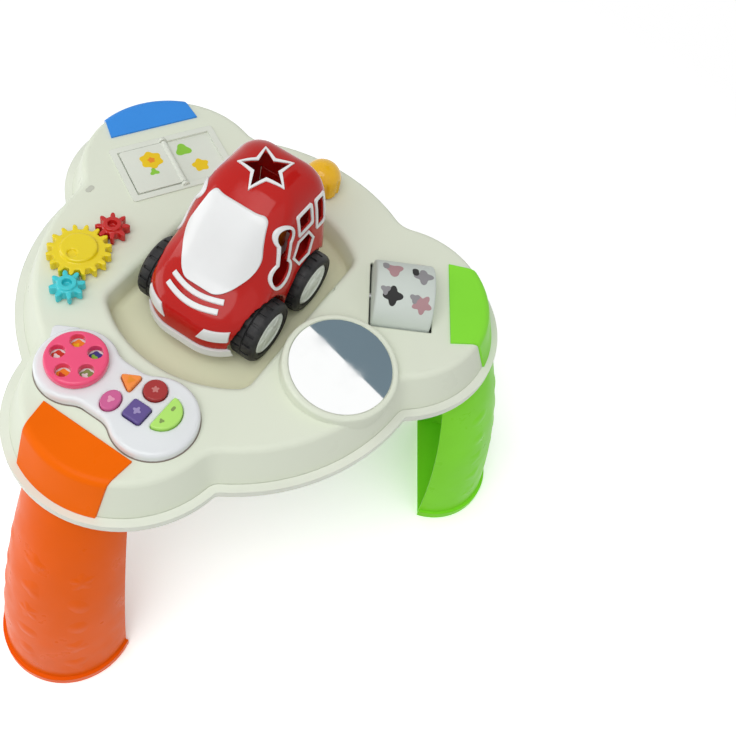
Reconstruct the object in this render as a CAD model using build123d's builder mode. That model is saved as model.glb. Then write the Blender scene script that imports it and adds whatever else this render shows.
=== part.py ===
from build123d import *

import os
from math import cos, hypot, radians, sin

# Activity table for small children: a three-lobed play top on splayed legs,
# with gears, a mirror, a roller, a turning page, a button panel and a lift-off sorter car.
# Millimetres. The origin is on the floor, on the table's axis. +X points at the orange lobe.

# Table plan and heights
LOBES = 3
TOP_R = 160.0
LOBE_D = 136.0
LOBE_R = 78.0
NOTCH_R = 24.0
TABLE_H = 295.0
WALL_H = 34.0
FLARE = 11.0
EDGE_R = 6.0
SHELL_T = 3.0
RIM_OUT = 7.0
RIM_IN = 2.0
RIM_H = 9.0
PLATE_T = 3.0

# Fits
AIR = 0.3
RUN_GAP = 0.05
SEAT_GAP = 0.15

# Lobe directions, in degrees from +X
ORANGE_AT = 0.0
GREEN_AT = 120.0
BLUE_AT = 240.0

# Coloured lobe caps
CAP_T = 1.6
CAP_IN_D = 181.0
CAP_IN_HALF = 41.0
CAP_OUT_HALF = 36.0

# Legs
LEG_T = 3.0
LEG_TOP_D = 187.0
LEG_TOP_R = 41.0
LEG_TOP_WRAP = 93.0
LEG_MID_Z = 140.0
LEG_MID_D = 211.0
LEG_MID_R = 51.5
LEG_MID_WRAP = 95.0
LEG_FOOT_D = 227.5
LEG_FOOT_R = 57.0
LEG_FOOT_WRAP = 102.0
FOOT_BAND_H = 9.0
FOOT_BAND_OUT = 2.5
LEG_PLATE_IN_D = 165.0
LEG_SCREW_D = 190.0
LEG_SCREW_HALF = 22.0

# Screws
SCREW_R = 1.5
SCREW_L = 12.0
HEAD_R = 3.0
HEAD_H = 2.2
POST_R = 5.0
POST_D = 149.0
POST_ANGLES = (30.0, 100.0, 145.0, 215.0, 268.0, 325.0)

# Car dock in the middle of the top
DOCK_R = 106.0
DOCK_HALF_W = 70.0
DOCK_DEEP = 24.0
DOCK_SLOPE = 4.0
DOCK_CORNER_R = 16.0
DOCK_FLOOR_R = 5.0
DOCK_RIM_R = 5.0
DOCK_RIM_STEPS = 4

# Mirror
MIRROR_AT = 78.0
MIRROR_D = 122.0
MIRROR_RISE = 11.0
MIRROR_TILT = 6.0
MIRROR_OUT_R = 47.0
MIRROR_R = 42.0
MIRROR_T = 2.5
MIRROR_SINK = 0.6
MIRROR_PLATE = 3.0
MIRROR_WALL = 5.0
BEZEL_R = 2.4

# Roller on the green lobe
ROLLER_D = 139.0
ROLLER_R = 31.5
ROLLER_L = 50.0
ROLLER_SINK = 4.0
ROLLER_WALL = 2.5
ROLLER_HUB_R = 6.0
ROLLER_GAP = 1.5
ROLLER_AXLE_R = 2.5
CRADLE_T = 4.0
CRADLE_HALF = 8.0

# Gears
MODULE = 3.0
BIG_TEETH = 16
SMALL_TEETH = 8
TOOTH_UP = 2.2
TOOTH_DOWN = 3.2
TOOTH_PITCH_W = 4.0
TOOTH_TIP_W = 2.0
TOOTH_ROOT_W = 4.6
GEAR_T = 9.0
GEAR_D = 127.0
GEAR_AT = -60.0
TEAL_TOWARDS = 26.6
RED_TOWARDS = 173.1
BIG_HUB_R = 15.0
BIG_HUB_H = 3.0
DIMPLE_R = 4.0
DIMPLE_D = 8.0
DIMPLE_DEEP = 2.4
SMALL_HUB_R = 7.5
SMALL_HUB_H = 2.5
SMALL_HOLE_R = 3.8
SMALL_HOLE_DEEP = 5.0

# Snap stems that carry the gears, the knob and the dial
STEM_R = 4.0
STEM_BOSS_R = 8.0
STEM_BOSS_L = 5.0
STEM_PAD_R = 7.0
STEM_PAD_H = 1.2
BARB_R = 5.2
BARB_H = 1.8

# Turning knob
KNOB_AT = 180.0
KNOB_D = 129.0
KNOB_R = 17.0
KNOB_H = 28.0
KNOB_FLUTES = 8
KNOB_FLUTE_R = 3.0

# Control panel on the orange lobe
PANEL_X = 145.0
PANEL_DIAL_Y = -41.0
PANEL_DIAL_R = 32.0
PANEL_KEYS_Y = 32.0
PANEL_KEYS_R = 34.0
PANEL_WAIST_W = 48.0
PANEL_WAIST_R = 20.0
PANEL_T = 2.4
PANEL_EDGE_R = 3.5
PANEL_POST_R = 3.5
PANEL_POSTS = ((124.0, -52.0), (166.0, -52.0), (150.0, 59.0), (168.0, 38.0))
TAB_AT = (132.0, -64.5)
TAB_TURN = 30.0
TAB_W = 22.0
TAB_H = 5.0
DIAL_R = 24.0
DIAL_T = 7.0
DIAL_EDGE_R = 2.5
FINGER_HOLES = 5
FINGER_R = 5.8
FINGER_D = 14.5
PICTURE_T = 0.8
PICTURE_R = 22.5

# Buttons
KEY_UP = 2.6
KEY_TRAVEL = 1.5
KEY_GAP = 0.4
KEY_LEDGE = 1.5
KEY_LEDGE_T = 1.2
KEY_EDGE_R = 1.0
TRIANGLE_AT = (133.7, 1.0)
TRIANGLE_R = 10.0
TRIANGLE_TURN = 30.0
ROUND_AT = (129.0, 20.5)
ROUND_R = 9.0
OVAL_AT = (155.0, 0.0)
OVAL_RX = 9.0
OVAL_RY = 7.0
SQUARE_AT = (151.0, 21.0)
SQUARE_W = 16.0
MOON_AT = (140.0, 35.5)
MOON_R = 15.0
BOARD_T = 1.6
BOARD_AT = (144.0, 15.5)
BOARD_LX = 36.0
BOARD_LY = 59.0
PAD_T = 1.6

# Turning page on the blue lobe
BOOK_TO_CAP = 14.0
PAGE_LR = 52.0
PAGE_LT = 43.0
TRAY_WALL = 3.0
TRAY_LIP = 3.0
TRAY_LIP_T = 1.2
TRAY_DEEP = 6.0
PAGE_SINK = 1.0
LEAF_T = 2.5
LEAF_AIR = 0.4
LEAF_MARGIN = 1.0
BARREL_R = 2.8
PIN_R = 1.5
EAR_R = 3.4

# Speaker and battery box, on the base cover
SPEAKER_AT = 45.0
SPEAKER_D = 130.0
SPEAKER_R = 19.0
SPEAKER_T = 4.0
MAGNET_R = 10.0
MAGNET_H = 6.0
GRILLE_R = 1.6
GRILLE_D = 9.0
GRILLE_HOLES = 6
RING_T = 2.0
CELLS = 3
CELL_R = 7.1
CELL_L = 50.0
CELL_PITCH = 15.0
CONTACT_T = 1.5
CONTACT_W = 9.0
BOX_WALL = 2.0
BOX_X = 8.0
BOX_Y = -113.0
DOOR_T = 2.5
DOOR_LIP = 5.0
DOOR_TAB = 12.0

# Car: body, from the wheels' contact upwards, +X forwards
CAR_WALL = 2.6
CAR_FRONT = 73.0
CAR_REAR = -66.0
CAR_HALF_W = 49.0
CAR_ROOF_Z = 131.0
CAR_BELT_Z = 60.0
CAR_LOW_Z = 24.0
CAR_NOSE_R = 38.0
CAR_REAR_R = 20.0
# Level sections of the rounded body above its low edge:
# height, front, rear, half width, nose radius, rear corner radius
CAR_SECTIONS = (
    (31.0, 73.6, CAR_REAR, 49.3, 38.3, 20.0),
    (40.0, 73.4, CAR_REAR, 49.5, 38.5, 20.0),
    (50.0, 70.0, CAR_REAR, 49.0, 38.5, 20.0),
    (57.0, 62.5, CAR_REAR, 47.8, 37.0, 19.0),
    (63.0, 52.5, CAR_REAR, 46.6, 35.0, 18.0),
    (70.0, 42.5, CAR_REAR, 45.4, 33.0, 17.0),
    (79.0, 34.5, CAR_REAR, 44.2, 31.0, 16.0),
    (90.0, 27.5, CAR_REAR, 42.6, 29.0, 15.0),
    (102.0, 19.5, CAR_REAR, 40.4, 27.0, 15.0),
    (112.0, 11.5, -65.2, 37.6, 25.0, 16.0),
    (120.0, 3.0, -62.2, 33.6, 22.0, 16.0),
    (126.0, -6.0, -57.0, 28.0, 18.0, 15.0),
    (129.5, -15.0, -50.5, 21.5, 13.0, 12.0),
    (CAR_ROOF_Z, -24.0, -43.0, 14.5, 8.0, 8.0),
)
TRIM_UP = 1.0
TRIM_W = 2.4
WHEEL_R = 27.0
WHEEL_W = 22.0
WHEEL_OUT = 57.0
WHEEL_BASE = 62.0
HUB_R = 19.0
AXLE_R = 2.0
ARCH_AIR = 3.5
TREADS = 18
TREAD_W = 3.0
TREAD_DEEP = 1.2
BAND_H = 8.0
BAND_OUT = 1.5
CABIN_FLOOR_Z = 36.0
CABIN_FRONT_X = 38.0
CABIN_REAR_X = -58.0
HATCH_HALF = 25.0
HATCH_LOW_Z = 44.0
HATCH_TOP_Z = 86.0
HATCH_AIR = 0.5
HINGE_R = 2.6
HINGE_PIN_R = 1.5
HINGE_PIN_L = 3.0
HINGE_EAR = 4.5
LIP_DROP = 5.0
LIP_W = 8.0
LIP_HALF = 14.0

# Car: sorting holes and white marks, as places and sizes in the car's own axes
KEYHOLE_TOP = (-2.0, 103.0)
KEYHOLE_TOP_R = 7.5
KEYHOLE_LOW = (7.0, 72.0)
KEYHOLE_LOW_R = 11.0
KEYHOLE_NECK = 5.5
HEXAGON_AT = (-23.5, 75.0)
HEXAGON_R = 12.8
WINDOW_AT = (-27.0, 102.0)
WINDOW_W = 16.0
SLIT_AT = (-48.0, 96.0)
SLIT_W = 9.0
SLIT_H = 26.0
WINDOW_R = 2.0
STAR_X = -28.0
STAR_OUT_R = 20.0
STAR_IN_R = 9.5
STAR_POINTS = 5
STAR_MITRE = 1.3
SCREEN_BACK_X = -20.0
SCREEN_TOP_Z = 119.0
SCREEN_TOP_HALF = 25.0
SCREEN_MID_Z = 84.0
SCREEN_MID_HALF = 36.0
SCREEN_LOW_Z = 65.0
SCREEN_LOW_HALF = 20.0
SCREEN_TOP_R = 7.0
SCREEN_MID_R = 20.0
SCREEN_LOW_R = 22.0
STRIPE_XS = (58.0, 65.5)
STRIPE_R = 60.0
STRIPE_W = 3.4
STRIPE_HALF = 24.0
LAMP_IN_Y = 15.0
LAMP_OUT_Y = 38.0
LAMP_LOW_Z = 36.0
LAMP_H = 11.0
LAMP_SLANT = 5.0
BLOCK_H = 34.0
PRISM_AT = (12.0, 10.0)
PRISM_R = 14.0
CUBE_AT = (-16.0, 8.0)
CUBE_W = 22.0
ROD_AT = (-42.0, 6.0)
ROD_R = 11.0

# Heights that follow
RIM_TOP = TABLE_H - WALL_H
RIM_LOW = RIM_TOP - RIM_H
BASE_TOP = RIM_LOW + PLATE_T
CEILING = TABLE_H - SHELL_T
DOCK_FLOOR = TABLE_H - DOCK_DEEP
PANEL_H = BOARD_T + PAD_T + AIR + KEY_TRAVEL + KEY_LEDGE_T + AIR + PANEL_T
PANEL_TOP = TABLE_H + PANEL_H
PANEL_UNDER = PANEL_TOP - PANEL_T
CAR_Z = DOCK_FLOOR + AIR

os.makedirs("parts", exist_ok=True)


def keep(part: Part, name: str) -> None:
    """Label a finished piece and write its file."""
    part.label = name
    export_step(part, f"parts/{name}.step")


def polar(distance: float, angle: float) -> tuple[float, float]:
    """Plan point at a distance from the table's axis, in the direction angle."""
    return distance * cos(radians(angle)), distance * sin(radians(angle))


def spoke(angle: float, z: float) -> Plane:
    """Level plane at height z whose x runs outwards in the direction angle."""
    return Plane(origin=(0, 0, z), x_dir=(*polar(1, angle), 0), z_dir=(0, 0, 1))


# Table top shell, base cover and caps


def wall_grow(z: float) -> float:
    """How far the flared wall stands outside the top outline at height z."""
    return FLARE * (TABLE_H - z) / WALL_H


def outline(grow: float) -> Sketch:
    """Plan of the table, moved out by grow."""
    with BuildSketch() as plan:
        Circle(TOP_R + grow)
        with PolarLocations(LOBE_D, LOBES):
            Circle(LOBE_R + grow)
        notches = [v for v in plan.vertices() if abs(hypot(v.X, v.Y) - TOP_R - grow) < 0.01]
        fillet(notches, NOTCH_R - grow)
    return plan.sketch


def table_block(skin: float, z_low: float, z_high: float) -> Part:
    """Solid form of the table between two heights, moved out by skin."""
    with BuildPart() as block:
        for z in (z_low, z_high):
            with BuildSketch(Plane.XY.offset(z)):
                add(outline(wall_grow(z) + skin))
        loft(ruled=True)
    return block.part


def dock_plan(grow: float) -> Sketch:
    """Plan of the car dock: a disc cut to a broad lane, with round corners."""
    with BuildSketch() as plan:
        Circle(DOCK_R + grow)
        Rectangle(4 * DOCK_R, 2 * (DOCK_HALF_W + grow), mode=Mode.INTERSECT)
        corners = [v for v in plan.vertices() if abs(abs(v.Y) - DOCK_HALF_W - grow) < 0.01]
        fillet(corners, DOCK_CORNER_R + grow)
    return plan.sketch


def dock_block(grow: float, z_low: float, z_high: float) -> Part:
    """Solid that fills the dock between two heights, moved out by grow."""
    with BuildPart() as block:
        for z in (z_low, z_high):
            slope = DOCK_SLOPE * (TABLE_H - z) / DOCK_DEEP
            with BuildSketch(Plane.XY.offset(z)):
                add(dock_plan(grow - slope))
        loft(ruled=True)
    return block.part


mirror_x, mirror_y = polar(MIRROR_D, MIRROR_AT)
lean_x, lean_y = polar(sin(radians(MIRROR_TILT)), MIRROR_AT)
mirror_face = Plane(
    origin=(mirror_x, mirror_y, TABLE_H + MIRROR_RISE),
    x_dir=(*polar(1, MIRROR_AT + 90), 0),
    z_dir=(lean_x, lean_y, cos(radians(MIRROR_TILT))),
)
MIRROR_SEAT = MIRROR_T + MIRROR_SINK
MIRROR_DROP = WALL_H + 2 * MIRROR_RISE

with BuildPart() as mirror_boss:
    with BuildSketch(mirror_face):
        Circle(MIRROR_OUT_R)
    extrude(amount=-MIRROR_DROP)
    fillet(mirror_boss.edges().sort_by(Axis.Z)[-1], BEZEL_R)
    with BuildSketch(Plane.XY.offset(RIM_TOP)):
        Rectangle(4 * TOP_R, 4 * TOP_R)
    extrude(amount=-MIRROR_DROP, mode=Mode.SUBTRACT)

with BuildPart() as mirror_hollow:
    with BuildSketch(mirror_face):
        Circle(MIRROR_R + SEAT_GAP)
    extrude(amount=-MIRROR_SEAT)
    with BuildSketch(mirror_face.offset(-MIRROR_SEAT - MIRROR_PLATE)):
        Circle(MIRROR_OUT_R - MIRROR_WALL)
    extrude(amount=-MIRROR_DROP)

big_x, big_y = polar(GEAR_D, GEAR_AT)
MESH_D = MODULE * (BIG_TEETH + SMALL_TEETH) / 2
teal_dx, teal_dy = polar(MESH_D, TEAL_TOWARDS)
red_dx, red_dy = polar(MESH_D, RED_TOWARDS)
BIG_AT = (big_x, big_y)
TEAL_AT = (big_x + teal_dx, big_y + teal_dy)
RED_AT = (big_x + red_dx, big_y + red_dy)
STEMS = (BIG_AT, TEAL_AT, RED_AT, polar(KNOB_D, KNOB_AT))

ROLLER_Z = TABLE_H - ROLLER_SINK
SLOT_HALF_R = ROLLER_L / 2 + ROLLER_GAP
SLOT_HALF_T = ROLLER_R + ROLLER_GAP
CRADLE_OUT = SLOT_HALF_R + CRADLE_T
TRAY_LR = PAGE_LR + 2 * TRAY_WALL
TRAY_LT = 2 * PAGE_LT + 2 * TRAY_WALL
BOOK_D = CAP_IN_D - BOOK_TO_CAP - TRAY_LIP - TRAY_LR / 2
COVER_POSTS = [polar(POST_D, angle) for angle in POST_ANGLES]

table_form = table_block(0, RIM_TOP, TABLE_H)
with BuildPart() as rounded_form:
    add(table_form)
    fillet(rounded_form.edges().group_by(Axis.Z)[-1], EDGE_R)

table_cavity = table_block(-SHELL_T, RIM_TOP, CEILING)
dock_tub = dock_block(SHELL_T, DOCK_FLOOR - SHELL_T, CEILING + SHELL_T / 2)
dock_space = dock_block(0, DOCK_FLOOR, TABLE_H)
# Rounding of the dock's rim, as sections along a quarter circle
with BuildPart() as dock_rim:
    for i in range(DOCK_RIM_STEPS + 1):
        swing = radians(90 * i / DOCK_RIM_STEPS)
        drop = DOCK_RIM_R * (1 - sin(swing))
        with BuildSketch(Plane.XY.offset(TABLE_H - drop)):
            add(dock_plan(DOCK_RIM_R * (1 - cos(swing)) - DOCK_SLOPE * drop / DOCK_DEEP))
    loft(ruled=True)
table_mass = rounded_form.part

with BuildPart() as table_top:
    add(table_mass)
    add(table_cavity, mode=Mode.SUBTRACT)
    add(dock_tub)
    add(dock_space, mode=Mode.SUBTRACT)
    dock_edges = table_top.edges().filter_by_position(Axis.Z, DOCK_FLOOR - 0.01, DOCK_FLOOR + 0.01)
    fillet(dock_edges, DOCK_FLOOR_R)
    add(dock_rim.part, mode=Mode.SUBTRACT)
    add(mirror_boss.part)
    add(mirror_hollow.part, mode=Mode.SUBTRACT)
    # Posts for the cover's screws, and bosses and pads for the snap stems
    with BuildSketch(Plane.XY.offset(BASE_TOP)):
        with Locations(*COVER_POSTS):
            Circle(POST_R)
            Circle(SCREW_R + SEAT_GAP, mode=Mode.SUBTRACT)
    extrude(amount=CEILING + SHELL_T / 2 - BASE_TOP)
    with BuildSketch(Plane.XY.offset(CEILING - STEM_BOSS_L)):
        with Locations(*STEMS):
            Circle(STEM_BOSS_R)
    extrude(amount=STEM_BOSS_L)
    with BuildSketch(Plane.XY.offset(TABLE_H)):
        with Locations(*STEMS):
            Circle(STEM_PAD_R)
    extrude(amount=STEM_PAD_H)
    with BuildSketch(Plane.XY.offset(CEILING - STEM_BOSS_L)):
        with Locations(*STEMS):
            Circle(STEM_R + RUN_GAP)
    extrude(amount=STEM_BOSS_L + SHELL_T + STEM_PAD_H, mode=Mode.SUBTRACT)
    # Cradle plates that hang under the top and carry the roller's axle
    with BuildSketch(spoke(GREEN_AT, CEILING + SHELL_T / 2)):
        for side in (-1, 1):
            with Locations((ROLLER_D + side * (SLOT_HALF_R + CRADLE_T / 2), 0)):
                Rectangle(CRADLE_T, 2 * CRADLE_HALF)
    extrude(amount=-(ROLLER_SINK + CRADLE_HALF))
    with BuildSketch(spoke(GREEN_AT, CEILING)):
        with Locations((ROLLER_D, 0)):
            RectangleRounded(2 * SLOT_HALF_R, 2 * SLOT_HALF_T, ROLLER_GAP)
    extrude(amount=2 * SHELL_T, mode=Mode.SUBTRACT)
    with BuildSketch(Plane(spoke(GREEN_AT, ROLLER_Z).origin, z_dir=spoke(GREEN_AT, 0).x_dir)):
        Circle(ROLLER_AXLE_R + SEAT_GAP)
    extrude(amount=ROLLER_D + CRADLE_OUT, mode=Mode.SUBTRACT)
    # Window for the page tray, and holes for the panel's screws
    with BuildSketch(spoke(BLUE_AT, CEILING - SHELL_T)):
        with Locations((BOOK_D, 0)):
            Rectangle(TRAY_LR + 2 * SEAT_GAP, TRAY_LT + 2 * SEAT_GAP)
    extrude(amount=3 * SHELL_T, mode=Mode.SUBTRACT)
    with BuildSketch(Plane.XY.offset(CEILING)):
        with Locations(*PANEL_POSTS):
            Circle(SCREW_R + SEAT_GAP)
    extrude(amount=SHELL_T, mode=Mode.SUBTRACT)
keep(table_top.part, "table_top")

LEG_SCREWS = [
    (LEG_SCREW_D, side * LEG_SCREW_HALF)
    for side in (-1, 1)
]
CELLS_W = CELLS * CELL_PITCH
BOX_IN_X = CELL_L + 2 * CONTACT_T
BOX_OUT_X = BOX_IN_X + 2 * BOX_WALL
BOX_OUT_Y = CELLS_W + 2 * BOX_WALL
DOOR_SCREW_AT = (BOX_X + BOX_OUT_X / 2 + DOOR_TAB / 2, BOX_Y)
speaker_at = polar(SPEAKER_D, SPEAKER_AT)
rim_grow = wall_grow(RIM_TOP)

with BuildPart() as base_cover:
    with BuildSketch(Plane.XY.offset(RIM_LOW)):
        add(outline(rim_grow + RIM_OUT))
    extrude(amount=RIM_H)
    chamfer(base_cover.edges().group_by(Axis.Z)[0], RIM_IN)
    with BuildSketch(Plane.XY.offset(BASE_TOP)):
        add(outline(rim_grow - SHELL_T - RIM_IN))
    extrude(amount=RIM_H, mode=Mode.SUBTRACT)
    # Bosses for the leg screws and the battery door's screw, and the speaker's ring
    for angle in (ORANGE_AT, GREEN_AT, BLUE_AT):
        with BuildSketch(spoke(angle, BASE_TOP)):
            with Locations(*LEG_SCREWS):
                Circle(POST_R)
        extrude(amount=SCREW_L)
    with BuildSketch(Plane.XY.offset(BASE_TOP)):
        with Locations(DOOR_SCREW_AT):
            Circle(POST_R)
    extrude(amount=SCREW_L)
    with BuildSketch(Plane.XY.offset(BASE_TOP)):
        with Locations(speaker_at):
            Circle(SPEAKER_R + SEAT_GAP + RING_T)
            Circle(SPEAKER_R + SEAT_GAP, mode=Mode.SUBTRACT)
    extrude(amount=SPEAKER_T)
    # Holes
    for angle in (ORANGE_AT, GREEN_AT, BLUE_AT):
        with BuildSketch(spoke(angle, RIM_LOW)):
            with Locations(*LEG_SCREWS):
                Circle(SCREW_R + SEAT_GAP)
        extrude(amount=PLATE_T + SCREW_L - RIM_IN, mode=Mode.SUBTRACT)
    with BuildSketch(Plane.XY.offset(RIM_LOW)):
        with Locations(DOOR_SCREW_AT):
            Circle(SCREW_R + SEAT_GAP)
    extrude(amount=PLATE_T + SCREW_L - RIM_IN, mode=Mode.SUBTRACT)
    with BuildSketch(Plane.XY.offset(RIM_LOW)):
        with Locations(*COVER_POSTS):
            Circle(SCREW_R + SEAT_GAP)
        with Locations((BOX_X, BOX_Y)):
            Rectangle(BOX_IN_X, CELLS_W)
        with Locations(speaker_at):
            Circle(GRILLE_R)
            with PolarLocations(GRILLE_D, GRILLE_HOLES):
                Circle(GRILLE_R)
    extrude(amount=PLATE_T, mode=Mode.SUBTRACT)
keep(base_cover.part, "base_cover")

with BuildPart() as cap_skin:
    add(table_block(CAP_T, RIM_TOP, TABLE_H + CAP_T))
    fillet(cap_skin.edges().group_by(Axis.Z)[-1], EDGE_R + CAP_T)
    add(table_mass, mode=Mode.SUBTRACT)
CAP_REACH = LOBE_D + LOBE_R + FLARE + 2 * CAP_T
for name, angle in (("orange_cap", ORANGE_AT), ("green_cap", GREEN_AT), ("blue_cap", BLUE_AT)):
    with BuildPart() as cap:
        with BuildSketch(spoke(angle, RIM_TOP)):
            with BuildLine():
                Polyline(
                    (CAP_IN_D, -CAP_IN_HALF),
                    (CAP_REACH, -CAP_OUT_HALF),
                    (CAP_REACH, CAP_OUT_HALF),
                    (CAP_IN_D, CAP_IN_HALF),
                    close=True,
                )
            make_face()
        extrude(amount=WALL_H + 2 * CAP_T)
        add(cap_skin.part, mode=Mode.INTERSECT)
    keep(cap.part, name)

# Legs: splayed half-round shells with a closed sole, open towards the middle


def leg_section(angle: float, z: float, distance: float, radius: float, wrap: float, t: float) -> Sketch:
    """Thick arc about a centre on the lobe's axis, open towards the table's axis."""
    with BuildSketch(spoke(angle, z)) as section:
        with BuildLine():
            outer = CenterArc((distance, 0), radius, -wrap, 2 * wrap)
            inner = CenterArc((distance, 0), radius - t, -wrap, 2 * wrap)
            Line(outer @ 0, inner @ 0)
            Line(outer @ 1, inner @ 1)
        make_face()
    return section.sketch


LEG_SOLE_IN_D = LEG_FOOT_D + LEG_FOOT_R * cos(radians(LEG_FOOT_WRAP))
for name, angle in (("orange_leg", ORANGE_AT), ("green_leg", GREEN_AT), ("blue_leg", BLUE_AT)):
    foot = leg_section(angle, 0, LEG_FOOT_D, LEG_FOOT_R, LEG_FOOT_WRAP, LEG_T)
    middle = leg_section(angle, LEG_MID_Z, LEG_MID_D, LEG_MID_R, LEG_MID_WRAP, LEG_T)
    head = leg_section(angle, RIM_LOW, LEG_TOP_D, LEG_TOP_R, LEG_TOP_WRAP, LEG_T)
    band_t = LEG_T / 2 + FOOT_BAND_OUT
    band = leg_section(angle, 0, LEG_FOOT_D, LEG_FOOT_R + FOOT_BAND_OUT, LEG_FOOT_WRAP, band_t)
    with BuildPart() as leg:
        loft([foot, middle, head])
        extrude(band, amount=FOOT_BAND_H)
        with BuildSketch(spoke(angle, 0)):
            with Locations((LEG_FOOT_D, 0)):
                Circle(LEG_FOOT_R - LEG_T / 2)
            with Locations((LEG_SOLE_IN_D, 0)):
                Rectangle(4 * LEG_FOOT_R, 4 * LEG_FOOT_R, align=(Align.MIN, Align.CENTER), mode=Mode.INTERSECT)
        extrude(amount=LEG_T)
        with BuildSketch(spoke(angle, RIM_LOW)):
            with Locations((LEG_TOP_D, 0)):
                Circle(LEG_TOP_R - LEG_T / 2)
            with Locations((LEG_PLATE_IN_D, 0)):
                Rectangle(4 * LEG_TOP_R, 4 * LEG_TOP_R, align=(Align.MIN, Align.CENTER), mode=Mode.INTERSECT)
            with Locations(*LEG_SCREWS):
                Circle(SCREW_R + SEAT_GAP, mode=Mode.SUBTRACT)
        extrude(amount=-LEG_T)
    keep(leg.part, name)


def screw(at: tuple[float, float], plane: Plane, length: float) -> Part:
    """Pan-head screw driven upwards, with its head under the plane."""
    with BuildPart() as fastener:
        with BuildSketch(plane):
            with Locations(at):
                Circle(SCREW_R)
        extrude(amount=length)
        with BuildSketch(plane):
            with Locations(at):
                Circle(HEAD_R)
        extrude(amount=-HEAD_H)
    return fastener.part


leg_fasteners = [
    screw(place, spoke(angle, RIM_LOW - LEG_T), SCREW_L)
    for angle in (ORANGE_AT, GREEN_AT, BLUE_AT)
    for place in LEG_SCREWS
]
with BuildPart() as leg_screws:
    add(leg_fasteners)
keep(leg_screws.part, "leg_screws")

cover_fasteners = [screw(place, Plane.XY.offset(RIM_LOW), SCREW_L) for place in COVER_POSTS]
with BuildPart() as cover_screws:
    add(cover_fasteners)
keep(cover_screws.part, "cover_screws")

# Mirror
with BuildPart() as mirror_disc:
    with BuildSketch(mirror_face.offset(-MIRROR_SEAT)):
        Circle(MIRROR_R)
    extrude(amount=MIRROR_T)
keep(mirror_disc.part, "mirror_disc")

# Roller: a drum on a fixed steel axle
roller_line = spoke(GREEN_AT, ROLLER_Z)
roller_axis = Plane(origin=(0, 0, ROLLER_Z), x_dir=(0, 0, 1), z_dir=roller_line.x_dir)
with BuildPart() as roller_axle:
    with BuildSketch(roller_axis.offset(ROLLER_D - CRADLE_OUT)):
        Circle(ROLLER_AXLE_R)
    extrude(amount=2 * CRADLE_OUT)
keep(roller_axle.part, "roller_axle")

with BuildPart() as roller_drum:
    with BuildSketch(roller_axis.offset(ROLLER_D - ROLLER_L / 2)):
        Circle(ROLLER_R)
    extrude(amount=ROLLER_L)
    fillet(roller_drum.edges(), ROLLER_WALL / 2)
    with BuildSketch(roller_axis.offset(ROLLER_D - ROLLER_L / 2 + ROLLER_WALL)):
        Circle(ROLLER_R - ROLLER_WALL)
        Circle(ROLLER_HUB_R, mode=Mode.SUBTRACT)
    extrude(amount=ROLLER_L, mode=Mode.SUBTRACT)
    with BuildSketch(roller_axis.offset(ROLLER_D + ROLLER_L / 2 - ROLLER_WALL)):
        Circle(ROLLER_HUB_R)
    extrude(amount=ROLLER_WALL, mode=Mode.SUBTRACT)
    with BuildSketch(roller_axis.offset(ROLLER_D - ROLLER_L / 2)):
        Circle(ROLLER_AXLE_R + RUN_GAP)
    extrude(amount=ROLLER_L, mode=Mode.SUBTRACT)
keep(roller_drum.part, "roller_drum")

with BuildPart() as roller_cap:
    with BuildSketch(roller_axis.offset(ROLLER_D + ROLLER_L / 2 - ROLLER_WALL)):
        Circle(ROLLER_R - ROLLER_WALL)
        Circle(ROLLER_AXLE_R + RUN_GAP, mode=Mode.SUBTRACT)
    extrude(amount=ROLLER_WALL)
keep(roller_cap.part, "roller_cap")

# Gears and knob on snap stems
STEM_LOW = CEILING - STEM_BOSS_L - AIR - BARB_H
GEAR_LOW = TABLE_H + STEM_PAD_H + AIR


def gear_outline(teeth: int, turned: float) -> Sketch:
    """Toothed outline about the origin, with one tooth at the angle turned."""
    pitch_r = MODULE * teeth / 2
    root_r = pitch_r - TOOTH_DOWN
    tip_r = pitch_r + TOOTH_UP
    half = ((root_r - TOOTH_UP, TOOTH_ROOT_W / 2), (pitch_r, TOOTH_PITCH_W / 2), (tip_r, TOOTH_TIP_W / 2))
    with BuildSketch() as flat:
        Circle(root_r)
        with PolarLocations(0, teeth, start_angle=turned):
            Polygon(*[(x, -y) for x, y in half], *[(x, y) for x, y in reversed(half)], align=None)
    return flat.sketch


def stem(at: tuple[float, float], top: float) -> Part:
    """Snap stem from the barb under its boss up to the height top."""
    with BuildPart() as post:
        with BuildSketch(Plane.XY.offset(STEM_LOW)):
            with Locations(at):
                Circle(STEM_R)
        extrude(amount=top - STEM_LOW)
        with BuildSketch(Plane.XY.offset(STEM_LOW)):
            with Locations(at):
                Circle(BARB_R)
        extrude(amount=BARB_H)
    return post.part


with BuildPart() as yellow_gear:
    with BuildSketch(Plane.XY.offset(GEAR_LOW)):
        with Locations(BIG_AT):
            add(gear_outline(BIG_TEETH, TEAL_TOWARDS))
    extrude(amount=GEAR_T)
    with BuildSketch(Plane.XY.offset(GEAR_LOW + GEAR_T)):
        with Locations(BIG_AT):
            Circle(BIG_HUB_R)
    extrude(amount=BIG_HUB_H)
    fillet(yellow_gear.edges().group_by(Axis.Z)[-1], BIG_HUB_H / 2)
    with BuildSketch(Plane.XY.offset(GEAR_LOW + GEAR_T + BIG_HUB_H)):
        with Locations(BIG_AT):
            with PolarLocations(DIMPLE_D, 1):
                Circle(DIMPLE_R)
    extrude(amount=-DIMPLE_DEEP, mode=Mode.SUBTRACT)
    add(stem(BIG_AT, GEAR_LOW))
keep(yellow_gear.part, "yellow_gear")

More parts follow.
